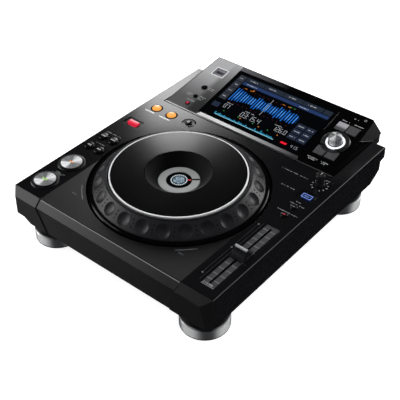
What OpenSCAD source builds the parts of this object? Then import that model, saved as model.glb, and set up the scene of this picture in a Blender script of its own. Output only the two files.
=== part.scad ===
// Tabletop DJ media player: a desk-top case with a large jog wheel, a tilted touch display,
// transport keys down the left side, a tempo slider down the right side and four feet.
// Millimetres. X points right, Y points to the rear, Z points up. The origin is on the table,
// under the middle of the case.

/* [Case] */
// Width over the side walls
case_w = 307; // [302:1:310]
// Depth from the nose to the rear cover
case_d = 380; // [378:1:384]
// Height of the deck above the table
deck_z = 79.5; // [79:0.1:80]
// Height of the underside above the table
floor_z = 36; // [35.5:0.1:36.5]
// Thickness of the moulded walls
wall = 3; // [2.8:0.1:3.1]
// Drop of the front bevel below the deck
bevel_drop = 7.3; // [6:0.1:9]
// Reach of the front bevel ahead of the deck's edge
bevel_run = 10; // [9:0.5:11]
// Half width of the centre front panel at the deck
front_panel_half = 109.4; // [105:0.5:112]

/* [Feet] */
// Radius of a foot
foot_r = 29.5; // [28:0.5:30]
// Height of the silver part of a foot
foot_ring_h = 16.5; // [14:0.5:18]
// Distance of the feet from the middle, sideways
foot_x = 118.5; // [116:0.5:120]
// Place of the front feet
foot_front_y = -151.5; // [-154:0.5:-150]
// Place of the rear feet
foot_rear_y = 123; // [118:0.5:126]

/* [Jog wheel] */
// Place of the wheel's axis, from the middle of the case
jog_y = -55.5; // [-56:0.1:-55]
// Radius of the opening in the deck
jog_hole_r = 112; // [111.6:0.1:112.4]
// Outer radius of the glossy skirt
skirt_r = 109.5; // [109:0.1:110]
// Outer radius of the dimpled ring
ring_low_r = 103.9; // [103.5:0.1:104]
// Height of the dimpled ring's outer edge
ring_low_z = 80.6; // [80.4:0.1:81]
// Upper radius of the dimpled ring
ring_high_r = 88.2; // [88:0.1:88.6]
// Height of the dimpled ring's upper edge
ring_high_z = 96.3; // [96:0.1:96.6]
// Number of finger dimples
dimple_count = 24; // [18:1:24]
// Width of one dimple
dimple_d = 17; // [12:0.5:17.5]
// Depth of one dimple
dimple_depth = 2.5; // [1:0.1:2.6]
// Radius of the recess in the touch plate
recess_r = 40; // [38:0.5:42]
// Middle radius of the white ring around the touch plate
trim_ring_r = 82.7; // [82.2:0.1:83]
// Height of the centre display's face
centre_z = 86.2; // [86:0.2:87.4]

/* [Display panel] */
// Place of the panel's front edge
panel_y = 71.8; // [71.5:0.1:72.2]
// Tilt of the panel in degrees
panel_tilt = 12; // [11.8:0.1:12.2]
// Length of the panel up its slope
panel_len = 109.5; // [108:0.1:109.8]
// Half width of the panel at the deck
panel_half = 134.5; // [134:0.1:135]
// Half width of the screen
screen_half = 80.8; // [78:0.2:81]
// Lower edge of the screen, up the slope
screen_low = 7.4; // [7.3:0.1:8]
// Upper edge of the screen, up the slope
screen_high = 99.8; // [98:0.2:100]

/* [Keys and knobs] */
// Radius of the play and cue buttons
play_r = 14.6; // [14:0.1:14.8]
// Radius of a search or track key
search_r = 6.6; // [6:0.1:6.8]
// Radius of a loop key
loop_r = 6.3; // [6:0.1:6.6]
// Radius of a small key
small_r = 4.4; // [4:0.1:4.6]
// Travel of every key
key_travel = 1.2; // [1:0.1:1.3]
// Radius of the rotary selector's knob
selector_r = 9; // [8.6:0.1:9.4]
// Height of the rotary selector's knob above the panel
selector_h = 11.5; // [11:0.5:12]
// Height of the speed adjust knob above the deck
speed_h = 16.5; // [15:0.5:17]

/* [Tempo slider] */
// Place of the slider's line, sideways
slider_x = 133.7; // [133.4:0.1:134]
// Middle of the slider's travel
slider_y = -106.9; // [-107.4:0.1:-106.4]
// Travel of the slider from end to end
slider_travel = 100; // [90:1:100]
// Height of the slider cap above the deck
cap_h = 11.5; // [10:0.5:12]

/* [Hidden] */

// Small overlap that keeps cutting tools clear of the faces they cut
cut = 0.1;
// Gap between a moving piece and the case
run_gap = 0.4;
// Gap between two fixed pieces
fit_gap = 0.05;

// Case outline
half_w = case_w / 2;
nose_y = -case_d / 2;
tail_y = case_d / 2;
deck_front_y = nose_y + bevel_run;
bevel_z = deck_z - bevel_drop;
nose_foot_y = nose_y + 2.5;
cheek_rear_y = 168;
under_lip_y = 158.5;
heel_y = 139.5;
deck_under = deck_z - wall;
inner_half = half_w - wall;
// Half width of the opening between the rear cheeks
bay_half = 130;
front_gap = 1.1;
panel_recess = 1;
// Width of the small chamfer along the deck's side edges
edge_t = 0.8;

// Key sizes
key_lip = 1.4;
key_flange_t = 1.5;
key_seat = -wall - 0.3;
key_base = key_seat - key_flange_t;

// Places of the deck controls
play_at = [-131, -152];
cue_at = [-131, -107.8];
search_back_at = [-140.5, -67.4];
search_forward_at = [-123.2, -67.4];
track_back_at = [-140.2, -42];
track_forward_at = [-123, -42];
loop_in_at = [-130.3, 50];
loop_out_at = [-104.2, 49.8];
reloop_at = [-74.6, 50.6];
jog_mode_at = [133, 20.6];
tempo_range_at = [131.6, -4.6];
master_tempo_at = [130.9, -22.9];
speed_at = [132.5, 48.3];
lever_at = [-131, 4.6];

// Places of the panel controls, as width and distance up the slope
usb_stop_at = [-103.8, 48];
time_mode_at = [-103.8, 28.3];
quantize_at = [-104.6, 12];
usb_port_at = [-104, 83.2];
selector_at = [106.4, 51];

// Rectangular keys
jog_mode_size = [13, 7.6];
jog_mode_recess = [22, 16.6];
browse_key_w = 14.4;
browse_key_d = 14;
browse_key_gap = 2.2;
browse_row_low = 22.6;
browse_row_high = 71.2;
selector_collar_r = 18.8;
light_ring_r = 12.4;
usb_block = [18.8, 15.2];

// Lever
lever_w = 14.6;
lever_t = 7.4;
lever_pivot_drop = 12;
pivot_r = 1.8;
lever_rise = 2;
lever_hole_d = 12.8;
lever_recess = [24.6, 15.4];

// Jog stack, heights above the table
well_floor_z = 64;
well_floor_t = 2;
base_plate_t = 2;
spindle_r = 10;
bearing_r = 16;
hub_wall = 4;
web_z = 71;
web_t = 2.5;
seat_r = 76;
seat_top_z = 95.2;
disc_z = 68.2;
disc_t = 0.8;
disc_r = 75;
slot_count = 36;

// Tempo slider
slot_w = 2.4;
stem_w = 1.6;
stem_d = 5;
slider_plate = [19, 120.6];
slider_recess = 0.8;
cap_w = 16.7;
cap_d = 21;

// ---------------------------------------------------------------- helpers

// Extrudes an outline drawn in Y and Z across the width w, centred on X = 0
module across(w) {
    rotate([90, 0, 90]) linear_extrude(w, center = true) children();
}

// Extrudes an outline drawn in X and Z along the whole depth
module along(d = 500) {
    rotate([90, 0, 0]) linear_extrude(d, center = true) children();
}

// Stands its children on the deck at a place
module on_deck(at) {
    translate([at[0], at[1], deck_z]) children();
}

// Stands its children on the tilted panel, at a width and a distance up the slope
module on_panel(at = [0, 0]) {
    translate([0, panel_y, deck_z]) rotate([panel_tilt, 0, 0]) translate([at[0], at[1], 0]) children();
}

module on_jog() {
    translate([0, jog_y, 0]) children();
}

// A box centred in X and Y that stands from z0 to z1
module block(size, z0, z1) {
    translate([-size[0] / 2, -size[1] / 2, z0]) cube([size[0], size[1], z1 - z0]);
}

// A box with rounded upright edges
module soft_block(size, r, z0, z1) {
    translate([0, 0, z0]) linear_extrude(z1 - z0) soft_rect(size, r);
}

module soft_rect(size, r) {
    square([size[0] - 2 * r, size[1]], center = true);
    square([size[0], size[1] - 2 * r], center = true);
    for (sx = [-1, 1], sy = [-1, 1])
        translate([sx * (size[0] / 2 - r), sy * (size[1] / 2 - r)]) circle(r, $fn = 24);
}

// Upright round hole
module bore(r, z0, z1) {
    translate([0, 0, z0]) cylinder(r = r, h = z1 - z0, $fn = 64);
}

// Round key cap with a flange that holds it under a panel of thickness wall
module round_key(r, rise, crown = 0) {
    edge = 0.5;
    rotate_extrude($fn = 64) polygon(concat(
        [[0, key_base], [r + key_lip, key_base], [r + key_lip, key_seat], [r, key_seat], [r, rise - edge]],
        [for (i = [0:8]) [(r - edge) * (1 - i / 8), rise + crown * (1 - pow(1 - i / 8, 2))]]));
}

// Rectangular key cap with its flange
module square_key(size, rise, r = 1) {
    soft_block(size, r, key_base, rise);
    block([size[0] + 2 * key_lip, size[1] + 2 * key_lip], key_base, key_seat);
}

// ---------------------------------------------------------------- case

function case_profile() = [[deck_front_y, deck_z], [nose_y, bevel_z], [nose_foot_y, floor_z],
    [heel_y, floor_z], [under_lip_y, floor_z + 12], [under_lip_y, deck_z - 18.5],
    [cheek_rear_y, deck_z - 16.5], [cheek_rear_y, deck_z - 3.5], [cheek_rear_y - 2.5, deck_z]];

// Half-space outside the slanted facet at a front corner, for one side
module corner_facet(side) {
    reach = 80;
    mirror([side < 0 ? 1 : 0, 0, 0])
        translate([half_w, deck_front_y, deck_z]) rotate([0, 0, -45.6]) rotate([0, -2.8, 0])
        translate([0, -reach, -reach]) cube([reach, 2 * reach, 2 * reach]);
}

// Outline of everything cut through the deck, from below the plate to above it
module deck_holes() {
    low = -wall - 1;
    high = 6;
    on_jog() bore(jog_hole_r, deck_under - 1, deck_z + high);
    on_deck(play_at) bore(play_r + run_gap, low, high);
    on_deck(cue_at) bore(play_r + run_gap, low, high);
    for (at = [search_back_at, search_forward_at, track_back_at, track_forward_at])
        on_deck(at) bore(search_r + run_gap, low, high);
    for (at = [loop_in_at, loop_out_at]) on_deck(at) {
        bore(loop_r + run_gap, low, high);
        bore(loop_r + 1.6, -0.7, high);
    }
    for (at = [reloop_at, tempo_range_at, master_tempo_at]) on_deck(at) bore(small_r + run_gap, low, high);
    on_deck(reloop_at) bore(small_r + 2, -0.8, high);
    on_deck(speed_at) bore(3.4, low, high);
    on_deck(jog_mode_at) block([jog_mode_size[0] + 2 * run_gap, jog_mode_size[1] + 2 * run_gap], low, high);
    on_deck(jog_mode_at + [-1.4, 1]) soft_block(jog_mode_recess, 1.5, -1, high);
    on_deck(lever_at + [-1.75, 1.15]) soft_block(lever_recess, 1, -1, high);
    on_deck(lever_at) block([lever_w + 2 * run_gap, lever_hole_d], low, high);
    on_deck([slider_x, slider_y]) soft_block(slider_plate, 1.2, -slider_recess, high);
    on_deck([slider_x, slider_y]) block([slot_w, slider_travel + stem_d + 1], low, high);
}

// Raised ring around a large button
module button_bezel() {
    inner = play_r + run_gap;
    rotate_extrude($fn = 64) polygon([[inner, -1], [inner + 2.6, -1], [inner + 2.6, 0.2],
        [inner + 1.9, 1.1], [inner + 0.5, 1.3], [inner, 0.9]]);
}

// Wall and floor of the round well that the jog wheel turns in
module jog_well() {
    on_jog() difference() {
        bore(jog_hole_r + 2.4, well_floor_z, deck_under + 0.5);
        bore(jog_hole_r, well_floor_z + well_floor_t, deck_z);
        bore(70, well_floor_z - 1, deck_z);
    }
}

module top_case() {
    color("#1b1b1d") {
        difference() {
            intersection() {
                across(case_w) polygon(case_profile());
                along() polygon([[-half_w, 0], [half_w, 0], [half_w, deck_z - edge_t],
                    [half_w - edge_t, deck_z], [edge_t - half_w, deck_z], [-half_w, deck_z - edge_t]]);
            }
            translate([-case_w, nose_y - 10, 0]) cube([2 * case_w, bevel_run + 10, deck_z + 10]);
            case_cavity();
            deck_holes();
            wedge_bay();
            translate([0, deck_front_y, deck_z]) rotate([45, 0, 0])
                cube([2 * front_panel_half, 1.1, 1.1], center = true);
        }
        jog_well();
        for (at = [play_at, cue_at]) on_deck(at) button_bezel();
        screw_places() case_boss();
        for (side = [-1, 1]) translate([side * (lever_w / 2 + run_gap + 1), 0, 0]) lever_ear();
    }
}

// Places of the screws between the chassis and the top case
module screw_places() {
    for (x = [-1, 1]) {
        translate([x * 80, -150, 0]) children();
        translate([x * 50, 62, 0]) children();
        translate([x * 143, 100, 0]) children();
    }
}

// Plate under the deck that carries one end of the lever's pivot
module lever_ear() {
    on_deck(lever_at) difference() {
        union() {
            block([2, 9], -lever_pivot_drop, -wall + 0.5);
            translate([0, 0, -lever_pivot_drop]) rotate([0, 90, 0])
                cylinder(r = 4.5, h = 2, center = true, $fn = 48);
        }
        translate([0, 0, -lever_pivot_drop]) rotate([0, 90, 0])
            cylinder(r = pivot_r + 0.06, h = 4, center = true, $fn = 48);
    }
}

// The room inside the case, open at the bottom
module case_cavity() {
    across(2 * inner_half) polygon([[deck_front_y + wall, 0], [deck_front_y + wall, deck_under],
        [cheek_rear_y - wall, deck_under], [cheek_rear_y - wall, deck_z - 14],
        [under_lip_y - wall, deck_z - 15], [under_lip_y - wall, floor_z + 14],
        [heel_y - 2, floor_z + 3.4], [heel_y - 2, 0]]);
}

// The bay in the deck and the rear wall that takes the display housing and the rear panel
module wedge_bay() {
    bay_front = panel_y - 1.2;
    translate([-panel_half + 4, bay_front, deck_under - 20])
        cube([2 * panel_half - 8, case_d, deck_z]);
    translate([-panel_half, bay_front, deck_z - groove_t]) cube([2 * panel_half, groove_d, 5]);
    for (side = [-1, 1]) translate([side * (panel_half + 0.5), (bay_front + cheek_rear_y) / 2, 0])
        block([1.1, cheek_rear_y - bay_front], deck_z - 1.4, deck_z + 5);
    translate([-bay_half, heel_y - 4, 0]) cube([2 * bay_half, 60, deck_z + 10]);
}

// Screw boss that hangs from the deck down to the chassis floor
module case_boss() {
    difference() {
        bore(4, floor_z + 2, deck_under + 0.5);
        bore(1.5, floor_z, floor_z + 20);
    }
}

module front_slab() {
    across(case_w) polygon([[deck_front_y - fit_gap, deck_z], [nose_y, bevel_z],
        [nose_foot_y, floor_z], [deck_front_y - fit_gap, floor_z]]);
}

// Front view of the centre panel, grown by g on each side
module front_panel_outline(g = 0) {
    along() polygon([for (p = [[-1, 0, deck_z + 5], [-1, 0, deck_z], [-1, 1.4, bevel_z],
        [-1, 12.7, floor_z], [-1, 12.7, 0], [1, 12.7, 0], [1, 12.7, floor_z],
        [1, 1.4, bevel_z], [1, 0, deck_z], [1, 0, deck_z + 5]]) [p[0] * (front_panel_half - p[1] + g), p[2]]]);
}

module front_panel() {
    skin = 2.6;
    color("#222224") intersection() {
        across(2 * front_panel_half) polygon([
            [deck_front_y - fit_gap, deck_z - panel_recess], [nose_y + panel_recess, bevel_z - 0.3],
            [nose_foot_y + panel_recess, floor_z], [nose_foot_y + panel_recess + skin, floor_z],
            [nose_y + panel_recess + skin, bevel_z - 1.6], [deck_front_y - fit_gap, deck_z - panel_recess - 3.2]]);
        front_panel_outline(-front_gap / 2);
    }
}

module corner_block(side) {
    difference() {
        intersection() {
            front_slab();
            translate([side > 0 ? 0 : -case_w, nose_y - 10, 0]) cube([case_w, 60, 200]);
        }
        front_panel_outline(front_gap / 2);
        corner_facet(side);
        translate([side * 128, deck_front_y - 2.5, floor_z - 1]) block([26, 5], 6, deck_z - floor_z - 12);
    }
}

module front_left_corner() {
    color("#2a2a2c") difference() {
        corner_block(-1);
        along() polygon([[-half_w - 5, floor_z - 1], [-half_w - 5, floor_z + 7], [-136, floor_z + 7],
            [-125, floor_z - 0.5], [-125, floor_z - 1]]);
    }
}

module front_right_corner() {
    color("#1e1e20") corner_block(1);
}

// ---------------------------------------------------------------- chassis and feet

module foot_places() {
    for (x = [-foot_x, foot_x], y = [foot_front_y, foot_rear_y]) translate([x, y, 0]) children();
}

module bottom_chassis() {
    sheet = 1.6;
    front_y = deck_front_y + wall + fit_gap;
    color("#101011") difference() {
        union() {
            translate([-inner_half + fit_gap, front_y, floor_z])
                cube([2 * (inner_half - fit_gap), heel_y - 2 - fit_gap - front_y, sheet]);
            translate([-bay_half + 1, 0, floor_z]) cube([2 * bay_half - 2, under_lip_y - 2.4, sheet]);
            translate([-bay_half + 1, front_y + 1, floor_z]) cube([2 * bay_half - 2, sheet, 16]);
            foot_places() bore(foot_r - 2.2, foot_ring_h + fit_gap, floor_z - fit_gap);
            foot_places() bore(14, floor_z - 2, floor_z + 0.4);
        }
        translate([-case_w, front_y - 20, floor_z - fit_gap]) cube([2 * case_w, 20, 10]);
        for (i = [0:5], x = [-60, 60]) translate([x, 8 * i - 10, 0]) block([50, 2.4], 0, floor_z + 5);
        foot_places() bore(foot_r - 5, foot_ring_h - 1, floor_z - 3);
    }
}

// One silver foot with its rubber sole set into the bottom
module foot() {
    color("#b9bab8") rotate_extrude($fn = 96) polygon([[0, 0], [foot_r - 3.2, 0], [foot_r - 2.6, 1],
        [foot_r - 0.6, 1], [foot_r, 1.8], [foot_r, foot_ring_h - 1], [foot_r - 1, foot_ring_h],
        [0, foot_ring_h]]);
}

module foot_front_left() {
    translate([-foot_x, foot_front_y, 0]) foot();
}

module foot_front_right() {
    translate([foot_x, foot_front_y, 0]) foot();
}

module foot_rear_left() {
    translate([-foot_x, foot_rear_y, 0]) foot();
}

module foot_rear_right() {
    translate([foot_x, foot_rear_y, 0]) foot();
}

// Countersunk screws that hold the chassis to the top case
module case_screws() {
    color("#3a3a3c") screw_places() case_screw();
}

module case_screw() {
    difference() {
        translate([0, 0, floor_z - 1.4]) cylinder(r = 3, h = 1.35, $fn = 32);
        translate([0, 0, floor_z - 1.5]) block([3.6, 0.7], 0, 0.8);
        translate([0, 0, floor_z - 1.5]) block([0.7, 3.6], 0, 0.8);
    }
}

// ---------------------------------------------------------------- display housing

wedge_slope = 0.3935;
rise_top = panel_len * sin(panel_tilt);
run_top = panel_len * cos(panel_tilt);
cover_rear_y = tail_y - 1.8;
seam_s = 66;
fascia_t = 3;
groove_t = 2.2;
groove_d = 6;

// Outer form of the wedge above the deck, its side walls drawn in by inset
module wedge_form(inset = 0) {
    intersection() {
        across(2 * panel_half) polygon([[panel_y, deck_z], [panel_y + run_top, deck_z + rise_top],
            [cover_rear_y - inset, deck_z + 2.3], [cover_rear_y - inset, deck_z]]);
        along() polygon([[-panel_half + inset, deck_z - 2], [panel_half - inset, deck_z - 2],
            [panel_half - inset, deck_z], [panel_half - inset - 30 * wedge_slope, deck_z + 30],
            [-panel_half + inset + 30 * wedge_slope, deck_z + 30], [-panel_half + inset, deck_z]]);
    }
}

// Everything on or above the fascia's underside
module above_fascia(drop = fascia_t) {
    on_panel() translate([-200, -60, -drop]) cube([400, 300, 60]);
}

// Everything behind the seam between the housing and its rear cover
module behind_seam(shift = 0) {
    seam_y = panel_y + seam_s * cos(panel_tilt) + shift;
    seam_z = deck_z + seam_s * sin(panel_tilt);
    across(400) polygon([[seam_y, seam_z + 20], [seam_y, seam_z], [cheek_rear_y + 0.4 + shift, deck_z],
        [cheek_rear_y + 0.4 + shift, deck_z - 30], [300, deck_z - 30], [300, seam_z + 20]]);
}

module display_housing() {
    skin = 2.6;
    lip = 7;
    rim_t = 1.4;
    color("#131314") {
        difference() {
            wedge_form();
            above_fascia();
            behind_seam(-0.1);
            difference() {
                translate([0, 0, -0.01]) wedge_form(skin);
                translate([-200, 0, 0]) cube([400, panel_y + 6, 200]);
            }
        }
        difference() {
            union() {
                translate([-panel_half + 4.6, panel_y + 0.8, deck_z - lip])
                    cube([2 * panel_half - 9.2, under_lip_y - panel_y - 2, lip + 0.4]);
                intersection() {
                    wedge_form();
                    translate([-panel_half, panel_y + 6, deck_z]) cube([2 * panel_half, case_d, rim_t]);
                }
            }
            translate([-panel_half + 7, panel_y + 6, deck_z - 20]) cube([2 * panel_half - 14, 200, 40]);
            above_fascia(fascia_t);
            behind_seam(-0.1);
        }
    }
}

// The rear cover closes the wedge behind, over the sockets
module display_rear_cover() {
    skin = 2.6;
    low_z = deck_z - 13.5;
    color("#2e2e30") difference() {
        union() {
            intersection() {
                wedge_form();
                behind_seam();
            }
            translate([-panel_half + 1.2, cheek_rear_y + 0.4, low_z])
                cube([2 * panel_half - 2.4, cover_rear_y - cheek_rear_y - 0.4, 14]);
            translate([-bay_half + 0.4, under_lip_y - 0.6, low_z])
                cube([2 * bay_half - 0.8, cheek_rear_y - under_lip_y + 1.6, 14]);
        }
        above_fascia();
        difference() {
            translate([0, 0, -0.01]) wedge_form(skin);
            on_panel() translate([-200, -60, -fascia_t]) cube([400, 300, 60]);
        }
        translate([-bay_half + skin, under_lip_y - 5, low_z + skin])
            cube([2 * (bay_half - skin), cover_rear_y - under_lip_y + 5 - skin, 13]);
        power_button_hole();
    }
}

power_at = [116, deck_z - 5];
power_size = [15, 7];

module power_button_hole() {
    translate([power_at[0], cover_rear_y, power_at[1]]) rotate([90, 0, 0])
        block([power_size[0] + 2 * run_gap, power_size[1] + 2 * run_gap], -1, 6);
}

module display_fascia() {
    color("#0c0c0d") difference() {
        union() {
            intersection() {
                wedge_form();
                above_fascia();
            }
            translate([-panel_half, panel_y, deck_z - groove_t + fit_gap])
                cube([2 * panel_half, groove_d - 1.8, groove_t]);
            on_panel(selector_at) selector_collar();
        }
        on_panel() translate([-200, -20, 0]) cube([400, 60, 60]);
        on_panel() translate([-screen_half - 0.2, screen_low - 0.3, -5])
            cube([2 * screen_half + 0.4, screen_high - screen_low + 0.5, 10]);
        on_panel() trim_bar_form(0.08, -0.8, 5);
        on_panel() translate([-200, -20, -1.3]) cube([400, 21.45, 60]);
        on_panel(usb_port_at) block([usb_block[0] + 0.1, usb_block[1] + 0.1], -5, 5);
        on_panel(usb_stop_at) bore(small_r + run_gap, -5, 5);
        on_panel(time_mode_at) bore(small_r - 1 + run_gap, -5, 5);
        on_panel(quantize_at) bore(small_r - 1 + run_gap, -5, 5);
        on_panel(selector_at) bore(3.6, -5, 5);
        for (col = [0, 1], row = [0, 1]) browse_key_slot(col, row);
        on_panel() translate([-78.2, 1.2, -1.3]) cube([156.4, 1.4, 3]);
    }
}

// Low cone around the rotary selector, with the seat of the light ring
module selector_collar() {
    rotate_extrude($fn = 96) polygon([[light_ring_r + 0.1, -0.5], [selector_collar_r, -0.5],
        [selector_collar_r, 0.6], [selector_collar_r - 1.4, 1.8], [light_ring_r + 1.1, 1.8],
        [light_ring_r + 0.1, 1.2]]);
}

module selector_light_ring() {
    color("#f4f6f8") on_panel(selector_at) rotate_extrude($fn = 96) polygon([[selector_r + 0.9, 0.02],
        [light_ring_r, 0.02], [light_ring_r, 1.4], [light_ring_r - 0.7, 2], [selector_r + 1.4, 2],
        [selector_r + 0.9, 1.5]]);
}

// Corner of a key beside the selector, by column and row
function browse_key_at(col, row) = [
    selector_at[0] + (col == 0 ? -1 : 1) * (browse_key_w + browse_key_gap) / 2,
    row == 0 ? browse_row_low + browse_key_d / 2 : browse_row_high + browse_key_d / 2];

module browse_key_cap(col, row, grow, z0, z1, ring = selector_collar_r + 0.6) {
    at = browse_key_at(col, row);
    difference() {
        on_panel(at) block([browse_key_w + 2 * grow, browse_key_d + 2 * grow], z0, z1);
        on_panel(selector_at) bore(ring - grow, z0 - 1, z1 + 1);
    }
}

module browse_key_slot(col, row) {
    browse_key_cap(col, row, run_gap, -5, 5);
}

module browse_key_piece(col, row) {
    color("#4a4a4c") {
        browse_key_cap(col, row, 0, key_base, 0.9);
        browse_key_cap(col, row, 0.7, key_base, key_seat, selector_collar_r + 0.2);
    }
}

module browse_key() {
    browse_key_piece(0, 1);
}

module tag_key() {
    browse_key_piece(1, 1);
}

module info_key() {
    browse_key_piece(0, 0);
}

module menu_key() {
    browse_key_piece(1, 0);
}

// The wide bar under the screen, with slanted ends, grown by g on each side
module trim_bar_form(g, z0, z1) {
    translate([0, 0, z0]) linear_extrude(z1 - z0) polygon([[-80.8 - g, 1.9 - g], [82.8 + g, 1.9 - g],
        [79.4 + g, 7.2 + g], [-77.2 - g, 7.2 + g]]);
}

// Pressed aluminium trim: a narrow lip along the wedge's whole foot, and the wide bar behind it
module display_trim_bar() {
    lip_half = panel_half - 0.3;
    color("#c9cacc") on_panel() difference() {
        union() {
            translate([-lip_half, -0.2, -1.25]) cube([2 * lip_half, 1.6, 1.35]);
            translate([-78, 1.3, -1.25]) cube([156, 1.2, 0.6]);
            trim_bar_form(0, -0.75, 0.4);
        }
        translate([-200, 1.4, -0.6]) cube([400, 0.5, 3]);
    }
}

module touch_screen() {
    glass_t = 2.6;
    module_t = 6;
    color("#08090b") on_panel() {
        translate([-screen_half, screen_low, -glass_t])
            cube([2 * screen_half, screen_high - screen_low - 0.1, glass_t]);
        translate([-screen_half + 3, screen_low + 12, -glass_t - module_t])
            cube([2 * screen_half - 6, screen_high - screen_low - 18, module_t + 0.1]);
    }
}

// ---------------------------------------------------------------- sockets

module usb_a_port() {
    mouth = [13.2, 5.8];
    depth = 13;
    color("#47484b") on_panel(usb_port_at) difference() {
        union() {
            block(usb_block, -1.6, 0.3);
            block([16, 9], -16, 0);
        }
        block([usb_block[0] - 2.4, usb_block[1] - 2.4], -1, 5);
        difference() {
            block(mouth, -depth, 5);
            translate([0, 1.1, 0]) block([11, 1.9], -depth - 1, -5.6);
        }
    }
}

module rear_panel() {
    color("#161617") difference() {
        translate([-bay_half + 0.3, under_lip_y - 2, floor_z + 1.7])
            cube([2 * bay_half - 0.6, 1.95, deck_z - 13.6 - floor_z - 1.7]);
        for (x = jack_x) socket_hole(x, [8.8, 8.8]);
        socket_hole(lan_x, [16.2, 14.2]);
        socket_hole(usb_b_x, [12.4, 11.4]);
        socket_hole(inlet_x, [27.2, 20.2]);
        for (i = [0:7]) translate([-112 + 6 * i, under_lip_y - 1, socket_z]) block([2.2, 8], -8, 8);
    }
}

jack_x = [-44, -29, -10];
lan_x = 16;
usb_b_x = 44;
inlet_x = 88;
socket_z = 51;

// Rectangular hole in the rear panel, around a socket
module socket_hole(x, size) {
    translate([x, under_lip_y - 1, socket_z]) block([size[0], 8], -size[1] / 2, size[1] / 2);
}

module audio_jacks() {
    color("#c8b46a") for (x = jack_x) translate([x, under_lip_y, socket_z]) rotate([90, 0, 0]) difference() {
        union() {
            translate([0, 0, -8.6]) cylinder(r = 4.15, h = 11, $fn = 48);
            block([11, 13], 2.4, 12);
        }
        translate([0, 0, -9]) cylinder(r = 1.7, h = 12, $fn = 32);
    }
}

module data_sockets() {
    color("#a9abad") {
        translate([lan_x, under_lip_y, socket_z]) rotate([90, 0, 0]) difference() {
            block([16, 14], -0.6, 15);
            block([11.9, 8.4], -2, 12);
        }
        translate([usb_b_x, under_lip_y, socket_z]) rotate([90, 0, 0]) difference() {
            block([12.2, 11.2], -0.6, 14);
            difference() {
                block([8.8, 8], -2, 12);
                block([5.6, 3], 5, 13);
            }
        }
    }
}

module ac_inlet() {
    color("#121213") translate([inlet_x, under_lip_y, socket_z]) rotate([90, 0, 0]) difference() {
        union() {
            block([27, 20], -0.4, 18);
            block([31, 22], 2.2, 4);
        }
        difference() {
            block([22, 14.6], -2, 15);
            for (x = [-6.5, 0, 6.5]) translate([x, x == 0 ? 2.5 : -1.5, 0]) block([2, 4], 5.5, 16);
        }
    }
}

// ---------------------------------------------------------------- jog wheel

module jog_base_plate() {
    color("#8d8f91") on_jog() difference() {
        bore(80, well_floor_z - base_plate_t, well_floor_z - 0.02);
        bore(4, 0, 100);
        for (a = [0:60:300]) rotate([0, 0, a + 30]) translate([48, 0, 0]) bore(11, 0, 100);
    }
}

module jog_spindle() {
    top = centre_z - 2.4;
    color("#9a9c9e") on_jog() rotate_extrude($fn = 64) polygon([[4, well_floor_z], [22, well_floor_z],
        [22, well_floor_z + 2.2], [spindle_r + 1.5, well_floor_z + 2.2], [spindle_r + 1.5, well_floor_z + 2.9],
        [spindle_r, well_floor_z + 2.9], [spindle_r, top - 2.4], [24.8, top - 2.4], [25.4, top - 1.8],
        [25.4, top], [4, top]]);
}

module jog_bearings() {
    h = 5;
    color("#c6c8ca") on_jog() for (z = [well_floor_z + 3, well_floor_z + 11.6])
        rotate_extrude($fn = 64) polygon([[spindle_r + 0.02, z], [12.4, z], [12.8, z + 0.5], [13.6, z + 0.5],
            [14, z], [bearing_r, z], [bearing_r, z + h], [14, z + h], [13.6, z + h - 0.5],
            [12.8, z + h - 0.5], [12.4, z + h], [spindle_r + 0.02, z + h]]);
}

module jog_display_collar() {
    slit = 2.2;
    color("#9b9c9b") on_jog() difference() {
        rotate_extrude($fn = 96) polygon([[15.7, centre_z - 2.38], [25.4, centre_z - 2.38],
            [25.4, centre_z - 0.6], [24.8, centre_z], [16, centre_z], [15.7, centre_z - 0.3]]);
        rotate([0, 0, 40]) translate([21, 0, 0]) block([14, slit], centre_z - 2, centre_z + 1);
    }
}

module jog_display_lens() {
    color("#0a1218") on_jog() rotate_extrude($fn = 96) polygon([[0, centre_z - 2.38],
        [15.6, centre_z - 2.38], [15.6, centre_z - 0.7], [15, centre_z - 0.4], [0, centre_z - 0.3]]);
}

// Wheel body: a web with ribs, the bearing seat and the glossy skirt
module jog_hub() {
    hub_in = bearing_r + 0.06;
    hub_top_z = centre_z - 6.2;
    low = well_floor_z + 2.7;
    skirt_low = deck_z - 6.5;
    color("#0e0e0f") on_jog() {
        rotate_extrude($fn = 128) polygon([[hub_in, low], [hub_in + hub_wall, low],
            [hub_in + hub_wall, web_z], [skirt_r - 3.4, web_z], [skirt_r - 3.4, skirt_low],
            [skirt_r - 0.6, skirt_low], [skirt_r, skirt_low + 1], [skirt_r, deck_z - 2],
            [skirt_r - 0.3, deck_z - 0.7], [skirt_r - 1.1, deck_z + 0.4], [skirt_r - 2.2, deck_z + 1.2],
            [skirt_r - 3.6, deck_z + 1.6], [ring_low_r + 0.7, deck_z + 1.6],
            [ring_low_r + 0.5, ring_low_z - 1.4], [ring_high_r - 3, ring_low_z - 1.4],
            [ring_high_r - 3, web_z + web_t], [seat_r + 7, web_z + web_t], [seat_r + 7, seat_top_z],
            [seat_r, seat_top_z], [seat_r, web_z + web_t], [hub_in + hub_wall, web_z + web_t],
            [hub_in + hub_wall, hub_top_z], [hub_in, hub_top_z]]);
        for (a = [0:30:330]) rotate([0, 0, a]) translate([48, 0, 0]) block([57, 2], web_z + 1, web_z + 7);
    }
}

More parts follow.
